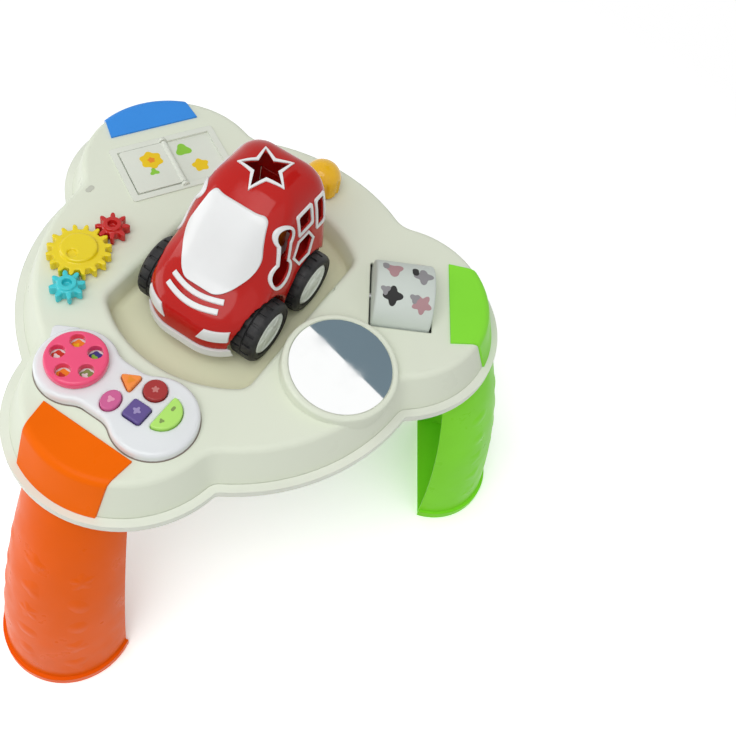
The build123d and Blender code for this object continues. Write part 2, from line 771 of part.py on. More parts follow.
HALF_TOOTH = 180.0 / SMALL_TEETH
RATIO = BIG_TEETH / SMALL_TEETH
red_turn = RED_TOWARDS + 180 + HALF_TOOTH + RATIO * (RED_TOWARDS - TEAL_TOWARDS)
for name, place, turned in (
    ("teal_gear", TEAL_AT, TEAL_TOWARDS + 180 + HALF_TOOTH),
    ("red_gear", RED_AT, red_turn),
):
    with BuildPart() as small_gear:
        with BuildSketch(Plane.XY.offset(GEAR_LOW)):
            with Locations(place):
                add(gear_outline(SMALL_TEETH, turned))
        extrude(amount=GEAR_T)
        with BuildSketch(Plane.XY.offset(GEAR_LOW + GEAR_T)):
            with Locations(place):
                Circle(SMALL_HUB_R)
        extrude(amount=SMALL_HUB_H)
        with BuildSketch(Plane.XY.offset(GEAR_LOW + GEAR_T + SMALL_HUB_H)):
            with Locations(place):
                Circle(SMALL_HOLE_R)
        extrude(amount=-SMALL_HOLE_DEEP, mode=Mode.SUBTRACT)
        add(stem(place, GEAR_LOW))
    keep(small_gear.part, name)

knob_at = polar(KNOB_D, KNOB_AT)
with BuildPart() as turn_knob:
    with BuildSketch(Plane.XZ.offset(-knob_at[1])):
        with BuildLine():
            base = Line((knob_at[0], GEAR_LOW), (knob_at[0] + KNOB_R, GEAR_LOW))
            side = Line(base @ 1, (knob_at[0] + KNOB_R, GEAR_LOW + KNOB_H - KNOB_R))
            crown = RadiusArc(side @ 1, (knob_at[0], GEAR_LOW + KNOB_H), -KNOB_R)
            Line(crown @ 1, base @ 0)
        make_face()
    revolve(axis=Axis((*knob_at, 0), (0, 0, 1)))
    with BuildSketch(Plane.XY.offset(GEAR_LOW)):
        with Locations(knob_at):
            with PolarLocations(KNOB_R + KNOB_FLUTE_R / 2, KNOB_FLUTES):
                Circle(KNOB_FLUTE_R)
    extrude(amount=KNOB_H, mode=Mode.SUBTRACT)
    add(stem(knob_at, GEAR_LOW))
keep(turn_knob.part, "turn_knob")

# Control panel


def panel_plan(grow: float) -> Sketch:
    """Waisted plan of the panel, moved out by grow."""
    with BuildSketch() as plan:
        with Locations((PANEL_X, PANEL_DIAL_Y)):
            Circle(PANEL_DIAL_R + grow)
        with Locations((PANEL_X, PANEL_KEYS_Y)):
            Circle(PANEL_KEYS_R + grow)
        with Locations((PANEL_X, (PANEL_DIAL_Y + PANEL_KEYS_Y) / 2)):
            Rectangle(PANEL_WAIST_W + 2 * grow, PANEL_KEYS_Y - PANEL_DIAL_Y)
        waist = [v for v in plan.vertices() if abs(abs(v.X - PANEL_X) - PANEL_WAIST_W / 2 - grow) < 0.01]
        fillet(waist, PANEL_WAIST_R - grow)
    return plan.sketch


def key_plan(name: str, grow: float) -> Sketch:
    """Plan of one button, moved out by grow."""
    with BuildSketch() as plan:
        if name == "triangle_button":
            with Locations(TRIANGLE_AT):
                RegularPolygon(TRIANGLE_R + 2 * grow, 3, rotation=TRIANGLE_TURN)
            fillet(plan.vertices(), TRIANGLE_R / 6 + grow)
        elif name == "round_button":
            with Locations(ROUND_AT):
                Circle(ROUND_R + grow)
        elif name == "oval_button":
            with Locations(OVAL_AT):
                Ellipse(OVAL_RX + grow, OVAL_RY + grow)
        elif name == "square_button":
            with Locations(SQUARE_AT):
                RectangleRounded(SQUARE_W + 2 * grow, SQUARE_W + 2 * grow, SQUARE_W / 8 + grow)
        else:
            with Locations(MOON_AT):
                Circle(MOON_R + grow)
            with Locations((MOON_AT[0], MOON_AT[1] - grow)):
                Rectangle(4 * MOON_R, 4 * MOON_R, align=(Align.CENTER, Align.MIN), mode=Mode.INTERSECT)
            fillet(plan.vertices(), MOON_R / 8 + grow)
    return plan.sketch


KEYS = ("triangle_button", "round_button", "oval_button", "square_button", "moon_button")
dial_at = (PANEL_X, PANEL_DIAL_Y)

with BuildPart() as panel_housing:
    with BuildSketch(Plane.XY.offset(TABLE_H)):
        add(panel_plan(0))
    extrude(amount=PANEL_H)
    fillet(panel_housing.edges().group_by(Axis.Z)[-1], PANEL_EDGE_R)
    with BuildSketch(Plane.XY.offset(TABLE_H)):
        with Locations(TAB_AT):
            RectangleRounded(TAB_W, TAB_W, TAB_W / 6, rotation=TAB_TURN)
    extrude(amount=TAB_H)
    with BuildSketch(Plane.XY.offset(TABLE_H)):
        add(panel_plan(-PANEL_T))
    extrude(amount=PANEL_H - PANEL_T, mode=Mode.SUBTRACT)
    with BuildSketch(Plane.XY.offset(TABLE_H)):
        with Locations(*PANEL_POSTS):
            Circle(PANEL_POST_R)
    extrude(amount=PANEL_H - PANEL_T / 2)
    with BuildSketch(Plane.XY.offset(TABLE_H)):
        with Locations(*PANEL_POSTS):
            Circle(SCREW_R + SEAT_GAP)
    extrude(amount=PANEL_H - PANEL_T, mode=Mode.SUBTRACT)
    with BuildSketch(Plane.XY.offset(PANEL_UNDER)):
        for key in KEYS:
            add(key_plan(key, KEY_GAP))
        with Locations(dial_at):
            Circle(STEM_R + RUN_GAP)
    extrude(amount=PANEL_T, mode=Mode.SUBTRACT)
keep(panel_housing.part, "panel_housing")

PANEL_SCREW_L = SHELL_T + PANEL_H - PANEL_T - RIM_IN
panel_fasteners = [screw(place, Plane.XY.offset(CEILING), PANEL_SCREW_L) for place in PANEL_POSTS]
with BuildPart() as panel_screws:
    add(panel_fasteners)
keep(panel_screws.part, "panel_screws")

LEDGE_TOP = PANEL_UNDER - AIR
for key in KEYS:
    with BuildPart() as button:
        with BuildSketch(Plane.XY.offset(LEDGE_TOP)):
            add(key_plan(key, 0))
        extrude(amount=PANEL_TOP + KEY_UP - LEDGE_TOP)
        fillet(button.edges().group_by(Axis.Z)[-1], KEY_EDGE_R)
        with BuildSketch(Plane.XY.offset(LEDGE_TOP)):
            add(key_plan(key, KEY_LEDGE))
        extrude(amount=-KEY_LEDGE_T)
    keep(button.part, key)

for name, low, thick in (("circuit_board", TABLE_H, BOARD_T), ("button_pad", TABLE_H + BOARD_T, PAD_T)):
    with BuildPart() as sheet:
        with BuildSketch(Plane.XY.offset(low)):
            with Locations(BOARD_AT):
                RectangleRounded(BOARD_LX, BOARD_LY, BOARD_T)
        extrude(amount=thick)
    keep(sheet.part, name)

with BuildPart() as picture_disc:
    with BuildSketch(Plane.XY.offset(PANEL_TOP)):
        with Locations(dial_at):
            Circle(PICTURE_R)
            Circle(STEM_R + RUN_GAP, mode=Mode.SUBTRACT)
    extrude(amount=PICTURE_T)
keep(picture_disc.part, "picture_disc")

DIAL_LOW = PANEL_TOP + PICTURE_T + AIR
DIAL_BARB = PANEL_UNDER - AIR - BARB_H
with BuildPart() as dial:
    with BuildSketch(Plane.XY.offset(DIAL_LOW)):
        with Locations(dial_at):
            Circle(DIAL_R)
    extrude(amount=DIAL_T)
    fillet(dial.edges().group_by(Axis.Z)[-1], DIAL_EDGE_R)
    with BuildSketch(Plane.XY.offset(DIAL_LOW)):
        with Locations(dial_at):
            with PolarLocations(FINGER_D, FINGER_HOLES):
                Circle(FINGER_R)
    extrude(amount=DIAL_T, mode=Mode.SUBTRACT)
    with BuildSketch(Plane.XY.offset(DIAL_BARB)):
        with Locations(dial_at):
            Circle(STEM_R)
    extrude(amount=DIAL_LOW - DIAL_BARB)
    with BuildSketch(Plane.XY.offset(DIAL_BARB)):
        with Locations(dial_at):
            Circle(BARB_R)
    extrude(amount=BARB_H)
keep(dial.part, "dial")

# Turning page
PAGE_Z = TABLE_H - PAGE_SINK
HINGE_Z = PAGE_Z + LEAF_AIR + LEAF_T / 2
LEAF_LR = PAGE_LR - 2 * LEAF_MARGIN
book_axis = Plane(origin=(0, 0, HINGE_Z), x_dir=(0, 0, 1), z_dir=spoke(BLUE_AT, 0).x_dir)

with BuildPart() as page_tray:
    with BuildSketch(spoke(BLUE_AT, TABLE_H - TRAY_DEEP)):
        with Locations((BOOK_D, 0)):
            Rectangle(TRAY_LR, TRAY_LT)
    extrude(amount=TRAY_DEEP)
    with BuildSketch(spoke(BLUE_AT, TABLE_H)):
        with Locations((BOOK_D, 0)):
            RectangleRounded(TRAY_LR + 2 * TRAY_LIP, TRAY_LT + 2 * TRAY_LIP, TRAY_LIP)
    extrude(amount=TRAY_LIP_T)
    with BuildSketch(spoke(BLUE_AT, PAGE_Z)):
        with Locations((BOOK_D, 0)):
            Rectangle(PAGE_LR, 2 * PAGE_LT)
    extrude(amount=TRAY_DEEP, mode=Mode.SUBTRACT)
    with BuildSketch(book_axis.offset(BOOK_D - PAGE_LR / 2 - TRAY_WALL)):
        Circle(EAR_R)
    extrude(amount=TRAY_WALL)
    with BuildSketch(book_axis.offset(BOOK_D + PAGE_LR / 2)):
        Circle(EAR_R)
    extrude(amount=TRAY_WALL)
    with BuildSketch(book_axis.offset(BOOK_D - PAGE_LR / 2)):
        Circle(BARREL_R + LEAF_AIR)
    extrude(amount=PAGE_LR, mode=Mode.SUBTRACT)
    with BuildSketch(book_axis.offset(BOOK_D - TRAY_LR / 2)):
        Circle(PIN_R)
    extrude(amount=TRAY_LR, mode=Mode.SUBTRACT)
keep(page_tray.part, "page_tray")

with BuildPart() as page_pin:
    with BuildSketch(book_axis.offset(BOOK_D - TRAY_LR / 2)):
        Circle(PIN_R)
    extrude(amount=TRAY_LR)
keep(page_pin.part, "page_pin")

with BuildPart() as page_leaf:
    with BuildSketch(spoke(BLUE_AT, HINGE_Z - LEAF_T / 2)):
        with Locations((BOOK_D, 0)):
            Rectangle(LEAF_LR, PAGE_LT - LEAF_MARGIN, align=(Align.CENTER, Align.MIN))
    extrude(amount=LEAF_T)
    fillet(page_leaf.edges().filter_by(Axis.Z), LEAF_T)
    with BuildSketch(book_axis.offset(BOOK_D - LEAF_LR / 2)):
        Circle(BARREL_R)
    extrude(amount=LEAF_LR)
    with BuildSketch(book_axis.offset(BOOK_D - LEAF_LR / 2)):
        Circle(PIN_R + RUN_GAP)
    extrude(amount=LEAF_LR, mode=Mode.SUBTRACT)
keep(page_leaf.part, "page_leaf")

# Speaker and battery box
with BuildPart() as speaker:
    with BuildSketch(Plane.XY.offset(BASE_TOP)):
        with Locations(speaker_at):
            Circle(SPEAKER_R)
    extrude(amount=SPEAKER_T)
    with BuildSketch(Plane.XY.offset(BASE_TOP + SPEAKER_T)):
        with Locations(speaker_at):
            Circle(MAGNET_R)
    extrude(amount=MAGNET_H)
keep(speaker.part, "speaker")

CELL_Z = BASE_TOP + CELL_R
BOX_IN_H = 2 * CELL_R + AIR
with BuildPart() as battery_box:
    with BuildSketch(Plane.XY.offset(BASE_TOP)):
        with Locations((BOX_X, BOX_Y)):
            Rectangle(BOX_OUT_X, BOX_OUT_Y)
    extrude(amount=BOX_IN_H + BOX_WALL)
    with BuildSketch(Plane.XY.offset(BASE_TOP)):
        with Locations((BOX_X, BOX_Y)):
            Rectangle(BOX_IN_X, CELLS_W)
    extrude(amount=BOX_IN_H, mode=Mode.SUBTRACT)
keep(battery_box.part, "battery_box")

cell_rows = [BOX_Y + (i - (CELLS - 1) / 2) * CELL_PITCH for i in range(CELLS)]
with BuildPart() as batteries:
    with BuildSketch(Plane.YZ.offset(BOX_X - CELL_L / 2)):
        with Locations(*[(y, CELL_Z) for y in cell_rows]):
            Circle(CELL_R)
    extrude(amount=CELL_L)
keep(batteries.part, "batteries")

with BuildPart() as battery_contacts:
    for side in (-1, 1):
        x = BOX_X + side * (CELL_L + CONTACT_T) / 2
        with BuildSketch(Plane.YZ.offset(x - CONTACT_T / 2)):
            with Locations(*[(y, CELL_Z) for y in cell_rows]):
                RectangleRounded(CONTACT_W, CONTACT_W, CONTACT_T)
        extrude(amount=CONTACT_T)
keep(battery_contacts.part, "battery_contacts")

DOOR_LX = BOX_OUT_X + DOOR_LIP + DOOR_TAB
with BuildPart() as battery_door:
    with BuildSketch(Plane.XY.offset(RIM_LOW)):
        with Locations((BOX_X + (DOOR_TAB - DOOR_LIP) / 2, BOX_Y)):
            RectangleRounded(DOOR_LX, BOX_OUT_Y + 2 * DOOR_LIP, DOOR_LIP)
        with Locations(DOOR_SCREW_AT):
            Circle(SCREW_R + SEAT_GAP, mode=Mode.SUBTRACT)
    extrude(amount=-DOOR_T)
    chamfer(battery_door.faces().sort_by(Axis.Z)[0].outer_wire().edges(), DOOR_T / 3)
    with BuildSketch(Plane.XY.offset(RIM_LOW)):
        with Locations((BOX_X, BOX_Y)):
            Rectangle(BOX_IN_X - 2 * AIR, CELLS_W - 2 * AIR)
    extrude(amount=PLATE_T)
keep(battery_door.part, "battery_door")

with BuildPart() as door_screw:
    add(screw(DOOR_SCREW_AT, Plane.XY.offset(RIM_LOW - DOOR_T), SCREW_L))
keep(door_screw.part, "door_screw")

# Sorter car. Its own axes: +X forwards, heights from the dock's floor.
AXLE_XS = (WHEEL_BASE / 2, -WHEEL_BASE / 2)
AXLE_Z = CAR_Z + WHEEL_R
ARCH_R = WHEEL_R + ARCH_AIR
ARCH_IN = WHEEL_OUT - WHEEL_W - ARCH_AIR
CHASSIS_HALF = ARCH_IN - CAR_WALL - AIR


def car_level(front: float, rear: float, half: float, nose_r: float, rear_r: float) -> Sketch:
    """Level section of the car body: a round nose and softer rear corners."""
    with BuildSketch() as plan:
        with Locations(((front + rear) / 2, 0)):
            Rectangle(front - rear, 2 * half)
        fillet(plan.vertices().group_by(Axis.X)[-1], nose_r)
        fillet(plan.vertices().group_by(Axis.X)[0], rear_r)
    return plan.sketch


def car_plan(grow: float) -> Sketch:
    """Plan of the car body at its low edge, moved out by grow."""
    return car_level(CAR_FRONT + grow, CAR_REAR - grow, CAR_HALF_W + grow, CAR_NOSE_R + grow, CAR_REAR_R + grow)


def car_form(grow: float, low: float) -> Part:
    """Rounded body of the car from a low height up to its roof, moved out by grow."""
    with BuildPart() as form:
        with BuildSketch(Plane.XY.offset(CAR_Z + low)):
            add(car_plan(grow))
        for z, front, rear, half, nose_r, rear_r in CAR_SECTIONS:
            with BuildSketch(Plane.XY.offset(CAR_Z + z + grow)):
                add(car_level(front + grow, rear - grow, half + grow, nose_r + grow, rear_r + grow))
        loft()
    return form.part


def arches(grow: float) -> Part:
    """Four wheel spaces, moved out by grow."""
    with BuildPart() as spaces:
        for side in (-1, 1):
            with BuildSketch(Plane.XZ.offset(-side * (ARCH_IN - grow))):
                with Locations(*[(x, AXLE_Z) for x in AXLE_XS]):
                    Circle(ARCH_R + grow)
            extrude(amount=-side * 2 * CAR_HALF_W)
    return spaces.part


def side_windows(grow: float) -> Sketch:
    """Sorting holes of one side, seen in x and z, moved out by grow."""
    top_x, top_z = KEYHOLE_TOP[0], CAR_Z + KEYHOLE_TOP[1]
    low_x, low_z = KEYHOLE_LOW[0], CAR_Z + KEYHOLE_LOW[1]
    neck = KEYHOLE_NECK + grow
    with BuildSketch() as flat:
        with Locations((top_x, top_z)):
            Circle(KEYHOLE_TOP_R + grow)
        with Locations((low_x, low_z)):
            Circle(KEYHOLE_LOW_R + grow)
        with BuildLine():
            Polyline(
                (top_x - neck, top_z),
                (top_x + neck, top_z),
                (low_x + neck, low_z),
                (low_x - neck, low_z),
                close=True,
            )
        make_face()
        with Locations((HEXAGON_AT[0], CAR_Z + HEXAGON_AT[1])):
            RegularPolygon(HEXAGON_R + grow, 6)
        with Locations((WINDOW_AT[0], CAR_Z + WINDOW_AT[1])):
            RectangleRounded(WINDOW_W + 2 * grow, WINDOW_W + 2 * grow, WINDOW_R)
        with Locations((SLIT_AT[0], CAR_Z + SLIT_AT[1])):
            RectangleRounded(SLIT_W + 2 * grow, SLIT_H + 2 * grow, WINDOW_R)
    return flat.sketch


def star_plan(grow: float) -> Sketch:
    """Star-shaped roof hole, moved out by grow."""
    step = 180.0 / STAR_POINTS
    points = []
    for i in range(STAR_POINTS):
        tip_x, tip_y = polar(STAR_OUT_R + STAR_MITRE * grow, 2 * i * step)
        dip_x, dip_y = polar(STAR_IN_R + STAR_MITRE * grow, (2 * i + 1) * step)
        points += [(STAR_X + tip_x, tip_y), (STAR_X + dip_x, dip_y)]
    with BuildSketch() as flat:
        with BuildLine():
            Polyline(*points, close=True)
        make_face()
    return flat.sketch


body_block = car_form(0, CAR_LOW_Z)
body_skin = car_form(TRIM_UP, CAR_LOW_Z)
body_cavity = car_form(-CAR_WALL, CAR_LOW_Z - BAND_H)
wheel_spaces = arches(0)
wheel_walls = arches(CAR_WALL)
HINGE_X = CAR_REAR + CAR_WALL
STAR_LOW = CAR_Z + (CAR_ROOF_Z + CAR_BELT_Z) / 2
HINGE_CAR_Z = CAR_Z + HATCH_LOW_Z

with BuildPart() as cabin_space:
    add(body_cavity)
    add(wheel_walls, mode=Mode.SUBTRACT)

with BuildPart() as car_body:
    add(body_block)
    add(cabin_space.part, mode=Mode.SUBTRACT)
    add(wheel_spaces, mode=Mode.SUBTRACT)
    with BuildSketch(Plane.XZ.offset(-ARCH_IN)):
        with Locations(*[(x, AXLE_Z) for x in AXLE_XS]):
            Circle(2 * AXLE_R)
    extrude(amount=2 * ARCH_IN, mode=Mode.SUBTRACT)
    # Ears for the hatch's hinge, then the hatch's opening
    with BuildSketch(Plane.XZ.offset(-HATCH_HALF - HATCH_AIR - HINGE_EAR)):
        with Locations((HINGE_X, HINGE_CAR_Z)):
            Circle(HINGE_EAR)
    extrude(amount=2 * (HATCH_HALF + HATCH_AIR + HINGE_EAR))
    add(body_block, mode=Mode.INTERSECT)
    with BuildSketch(Plane.YZ.offset(CAR_REAR - CAR_WALL)):
        with Locations((0, CAR_Z + (HATCH_LOW_Z + HATCH_TOP_Z) / 2)):
            Rectangle(2 * (HATCH_HALF + HATCH_AIR), HATCH_TOP_Z - HATCH_LOW_Z + 2 * HATCH_AIR)
    extrude(amount=3 * CAR_WALL, mode=Mode.SUBTRACT)
    with BuildSketch(Plane.XZ.offset(-HATCH_HALF - HATCH_AIR)):
        with Locations((HINGE_X, HINGE_CAR_Z)):
            Circle(HINGE_EAR + HATCH_AIR)
    extrude(amount=2 * (HATCH_HALF + HATCH_AIR), mode=Mode.SUBTRACT)
    with BuildSketch(Plane.XZ.offset(-HATCH_HALF - HINGE_PIN_L - AIR)):
        with Locations((HINGE_X, HINGE_CAR_Z)):
            Circle(HINGE_PIN_R + RUN_GAP)
    extrude(amount=2 * (HATCH_HALF + HINGE_PIN_L + AIR), mode=Mode.SUBTRACT)
    # Sorting holes
    with BuildSketch(Plane.XZ.offset(-2 * CAR_HALF_W)):
        add(side_windows(0))
    extrude(amount=4 * CAR_HALF_W, mode=Mode.SUBTRACT)
    with BuildSketch(Plane.XY.offset(STAR_LOW)):
        add(star_plan(0))
    extrude(amount=CAR_ROOF_Z, mode=Mode.SUBTRACT)
keep(car_body.part, "car_body")

with BuildPart() as trim_skin:
    add(body_skin)
    add(body_block, mode=Mode.SUBTRACT)

with BuildPart() as star_trim:
    with BuildSketch(Plane.XY.offset(STAR_LOW)):
        add(star_plan(TRIM_W))
        add(star_plan(0), mode=Mode.SUBTRACT)
    extrude(amount=CAR_ROOF_Z)
    add(trim_skin.part, mode=Mode.INTERSECT)
keep(star_trim.part, "star_trim")

for name, side in (("left_window_trims", 1), ("right_window_trims", -1)):
    with BuildPart() as window_trims:
        with BuildSketch(Plane.XZ):
            add(side_windows(TRIM_W))
            add(side_windows(0), mode=Mode.SUBTRACT)
        extrude(amount=-side * 2 * CAR_HALF_W)
        add(trim_skin.part, mode=Mode.INTERSECT)
    keep(window_trims.part, name)

with BuildPart() as windscreen:
    with BuildSketch(Plane.YZ.offset(SCREEN_BACK_X)):
        with BuildLine():
            FilletPolyline(
                (-SCREEN_TOP_HALF, CAR_Z + SCREEN_TOP_Z),
                (SCREEN_TOP_HALF, CAR_Z + SCREEN_TOP_Z),
                (SCREEN_MID_HALF, CAR_Z + SCREEN_MID_Z),
                (SCREEN_LOW_HALF, CAR_Z + SCREEN_LOW_Z),
                (-SCREEN_LOW_HALF, CAR_Z + SCREEN_LOW_Z),
                (-SCREEN_MID_HALF, CAR_Z + SCREEN_MID_Z),
                radius=(SCREEN_TOP_R, SCREEN_TOP_R, SCREEN_MID_R, SCREEN_LOW_R, SCREEN_LOW_R, SCREEN_MID_R),
                close=True,
            )
        make_face()
    extrude(amount=2 * CAR_FRONT)
    add(trim_skin.part, mode=Mode.INTERSECT)
keep(windscreen.part, "windscreen")

with BuildPart() as bonnet_stripes:
    with BuildSketch(Plane.XY.offset(CAR_Z + CAR_LOW_Z)):
        for reach in STRIPE_XS:
            with BuildLine():
                outer = CenterArc((reach - STRIPE_R, 0), STRIPE_R, -STRIPE_HALF, 2 * STRIPE_HALF)
                inner = CenterArc((reach - STRIPE_R, 0), STRIPE_R - STRIPE_W, -STRIPE_HALF, 2 * STRIPE_HALF)
                Line(outer @ 0, inner @ 0)
                Line(outer @ 1, inner @ 1)
            make_face()
    extrude(amount=2 * CAR_BELT_Z)
    add(trim_skin.part, mode=Mode.INTERSECT)
keep(bonnet_stripes.part, "bonnet_stripes")

with BuildPart() as headlights:
    with BuildSketch(Plane.YZ):
        for side in (-1, 1):
            with BuildLine():
                Polyline(
                    (side * LAMP_IN_Y, CAR_Z + LAMP_LOW_Z),
                    (side * LAMP_OUT_Y, CAR_Z + LAMP_LOW_Z),
                    (side * LAMP_OUT_Y, CAR_Z + LAMP_LOW_Z + LAMP_H),
                    (side * (LAMP_IN_Y + LAMP_SLANT), CAR_Z + LAMP_LOW_Z + LAMP_H),
                    close=True,
                )
            make_face()
    extrude(amount=2 * CAR_FRONT)
    add(trim_skin.part, mode=Mode.INTERSECT)
keep(headlights.part, "headlights")

BAND_Z = CAR_Z + CAR_LOW_Z - BAND_H
with BuildPart() as car_chassis:
    with BuildSketch(Plane.XY.offset(BAND_Z)):
        add(car_plan(BAND_OUT))
    extrude(amount=BAND_H)
    add(wheel_spaces, mode=Mode.SUBTRACT)
    with BuildSketch(Plane.XY.offset(BAND_Z)):
        with Locations(((CABIN_FRONT_X + CABIN_REAR_X) / 2, 0)):
            Rectangle(CABIN_FRONT_X - CABIN_REAR_X, 2 * CHASSIS_HALF)
    extrude(amount=CAR_Z + CABIN_FLOOR_Z - BAND_Z)
    with BuildSketch(Plane.XZ.offset(-CHASSIS_HALF)):
        with Locations(*[(x, AXLE_Z) for x in AXLE_XS]):
            Circle(AXLE_R + RUN_GAP)
    extrude(amount=2 * CHASSIS_HALF, mode=Mode.SUBTRACT)
keep(car_chassis.part, "car_chassis")

with BuildPart() as front_lip:
    with BuildSketch(Plane.XY.offset(BAND_Z)):
        with BuildLine():
            outer = CenterArc((0, 0), CAR_FRONT - LIP_W / 2, -LIP_HALF, 2 * LIP_HALF)
            inner = CenterArc((0, 0), CAR_FRONT - LIP_W / 2 - LIP_W, -LIP_HALF, 2 * LIP_HALF)
            Line(outer @ 0, inner @ 0)
            Line(outer @ 1, inner @ 1)
        make_face()
    extrude(amount=-LIP_DROP)
keep(front_lip.part, "front_lip")

with BuildPart() as rear_hatch:
    with BuildSketch(Plane.YZ.offset(CAR_REAR)):
        with Locations((0, CAR_Z + (HATCH_LOW_Z + HATCH_TOP_Z) / 2)):
            Rectangle(2 * HATCH_HALF, HATCH_TOP_Z - HATCH_LOW_Z)
    extrude(amount=CAR_WALL)
    with BuildSketch(Plane.XZ.offset(-HATCH_HALF)):
        with Locations((HINGE_X, HINGE_CAR_Z)):
            Circle(HINGE_R)
    extrude(amount=2 * HATCH_HALF)
    with BuildSketch(Plane.XZ.offset(-HATCH_HALF - HINGE_PIN_L)):
        with Locations((HINGE_X, HINGE_CAR_Z)):
            Circle(HINGE_PIN_R)
    extrude(amount=2 * (HATCH_HALF + HINGE_PIN_L))
keep(rear_hatch.part, "rear_hatch")

# Wheels
for place, x in (("front", AXLE_XS[0]), ("rear", AXLE_XS[1])):
    with BuildPart() as axle:
        with BuildSketch(Plane.XZ.offset(-WHEEL_OUT + WHEEL_W / 4)):
            with Locations((x, AXLE_Z)):
                Circle(AXLE_R)
        extrude(amount=2 * WHEEL_OUT - WHEEL_W / 2)
    keep(axle.part, f"{place}_axle")
    for hand, side in (("left", 1), ("right", -1)):
        outer_face = Plane.XZ.offset(-side * WHEEL_OUT)
        with BuildPart() as tyre:
            with BuildSketch(outer_face):
                with Locations((x, AXLE_Z)):
                    Circle(WHEEL_R)
            extrude(amount=side * WHEEL_W)
            fillet(tyre.edges().filter_by(GeomType.CIRCLE), TREAD_W)
            with BuildSketch(outer_face):
                with Locations((x, AXLE_Z)):
                    Circle(HUB_R)
            extrude(amount=side * WHEEL_W, mode=Mode.SUBTRACT)
            with BuildSketch(outer_face):
                with Locations((x, AXLE_Z)):
                    with PolarLocations(WHEEL_R, TREADS):
                        Rectangle(2 * TREAD_DEEP, TREAD_W)
            extrude(amount=side * WHEEL_W, mode=Mode.SUBTRACT)
        keep(tyre.part, f"{place}_{hand}_tyre")
    with BuildPart() as hubs:
        for side in (1, -1):
            with BuildSketch(Plane.XZ.offset(-side * (WHEEL_OUT - TREAD_DEEP))):
                with Locations((x, AXLE_Z)):
                    Circle(HUB_R - SEAT_GAP)
            extrude(amount=side * (WHEEL_W - 2 * TREAD_DEEP))
        with BuildSketch(Plane.XZ.offset(-WHEEL_OUT + WHEEL_W / 4)):
            with Locations((x, AXLE_Z)):
                Circle(AXLE_R + SEAT_GAP)
        extrude(amount=2 * WHEEL_OUT - WHEEL_W / 2, mode=Mode.SUBTRACT)
    keep(hubs.part, f"{place}_hub_caps")

# Loose sorting blocks on the cabin floor
with BuildPart() as shape_blocks:
    with BuildSketch(Plane.XY.offset(CAR_Z + CABIN_FLOOR_Z)):
        with Locations(PRISM_AT):
            RegularPolygon(PRISM_R, 3)
        with Locations(CUBE_AT):
            Rectangle(CUBE_W, CUBE_W)
        with Locations(ROD_AT):
            Circle(ROD_R)
    extrude(amount=BLOCK_H)
keep(shape_blocks.part, "shape_blocks")
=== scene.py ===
"""Activity table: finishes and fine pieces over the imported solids."""

import logging
import math
from contextlib import contextmanager
from dataclasses import dataclass
from enum import Enum
from functools import cached_property
from typing import Callable, Iterator, NamedTuple, Protocol, Sequence

import bpy
from mathutils import Matrix, Vector


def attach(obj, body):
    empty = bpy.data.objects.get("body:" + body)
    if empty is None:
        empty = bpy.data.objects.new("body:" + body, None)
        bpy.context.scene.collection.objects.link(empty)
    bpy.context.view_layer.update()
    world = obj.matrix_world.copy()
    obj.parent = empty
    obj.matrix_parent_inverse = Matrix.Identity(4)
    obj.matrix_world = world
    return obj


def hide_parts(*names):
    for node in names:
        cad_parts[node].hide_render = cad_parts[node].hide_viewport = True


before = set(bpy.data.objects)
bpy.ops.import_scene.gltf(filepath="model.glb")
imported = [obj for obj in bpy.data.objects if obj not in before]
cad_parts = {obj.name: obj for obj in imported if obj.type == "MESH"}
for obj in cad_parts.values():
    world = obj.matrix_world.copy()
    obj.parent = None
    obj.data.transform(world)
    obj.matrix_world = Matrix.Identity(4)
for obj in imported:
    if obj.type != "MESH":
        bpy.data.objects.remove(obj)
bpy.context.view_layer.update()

MM = 0.001
TABLE_H = 295.0
LOG = logging.getLogger("activity_table")
Colour = tuple[float, float, float]
Point = tuple[float, float, float]
Flat = tuple[float, float]
Shape = tuple[float, int, float]
Socket = bpy.types.NodeSocket
Material = bpy.types.Material
Piece = bpy.types.Object
Face = bpy.types.MeshPolygon
RISE: Flat = (0.0, 1.0)
FALL: Flat = (1.0, 0.0)
NOISE_ENDS: Flat = (0.3, 0.7)
INK_SINK = 0.02


class Gloss(NamedTuple):
    """Lowest and highest roughness, strength of the bump, clear coat and specular level."""

    low: float
    high: float
    bump: float
    coat: float
    specular: float


class Grain(Enum):
    """How a surface breaks up its gloss."""

    LACQUERED = Gloss(0.08, 0.14, 0.01, 0.0, 0.22)
    POLISHED = Gloss(0.14, 0.26, 0.02, 0.20, 0.30)
    SATIN = Gloss(0.26, 0.42, 0.05, 0.0, 0.06)
    MATT = Gloss(0.50, 0.66, 0.12, 0.0, 0.16)


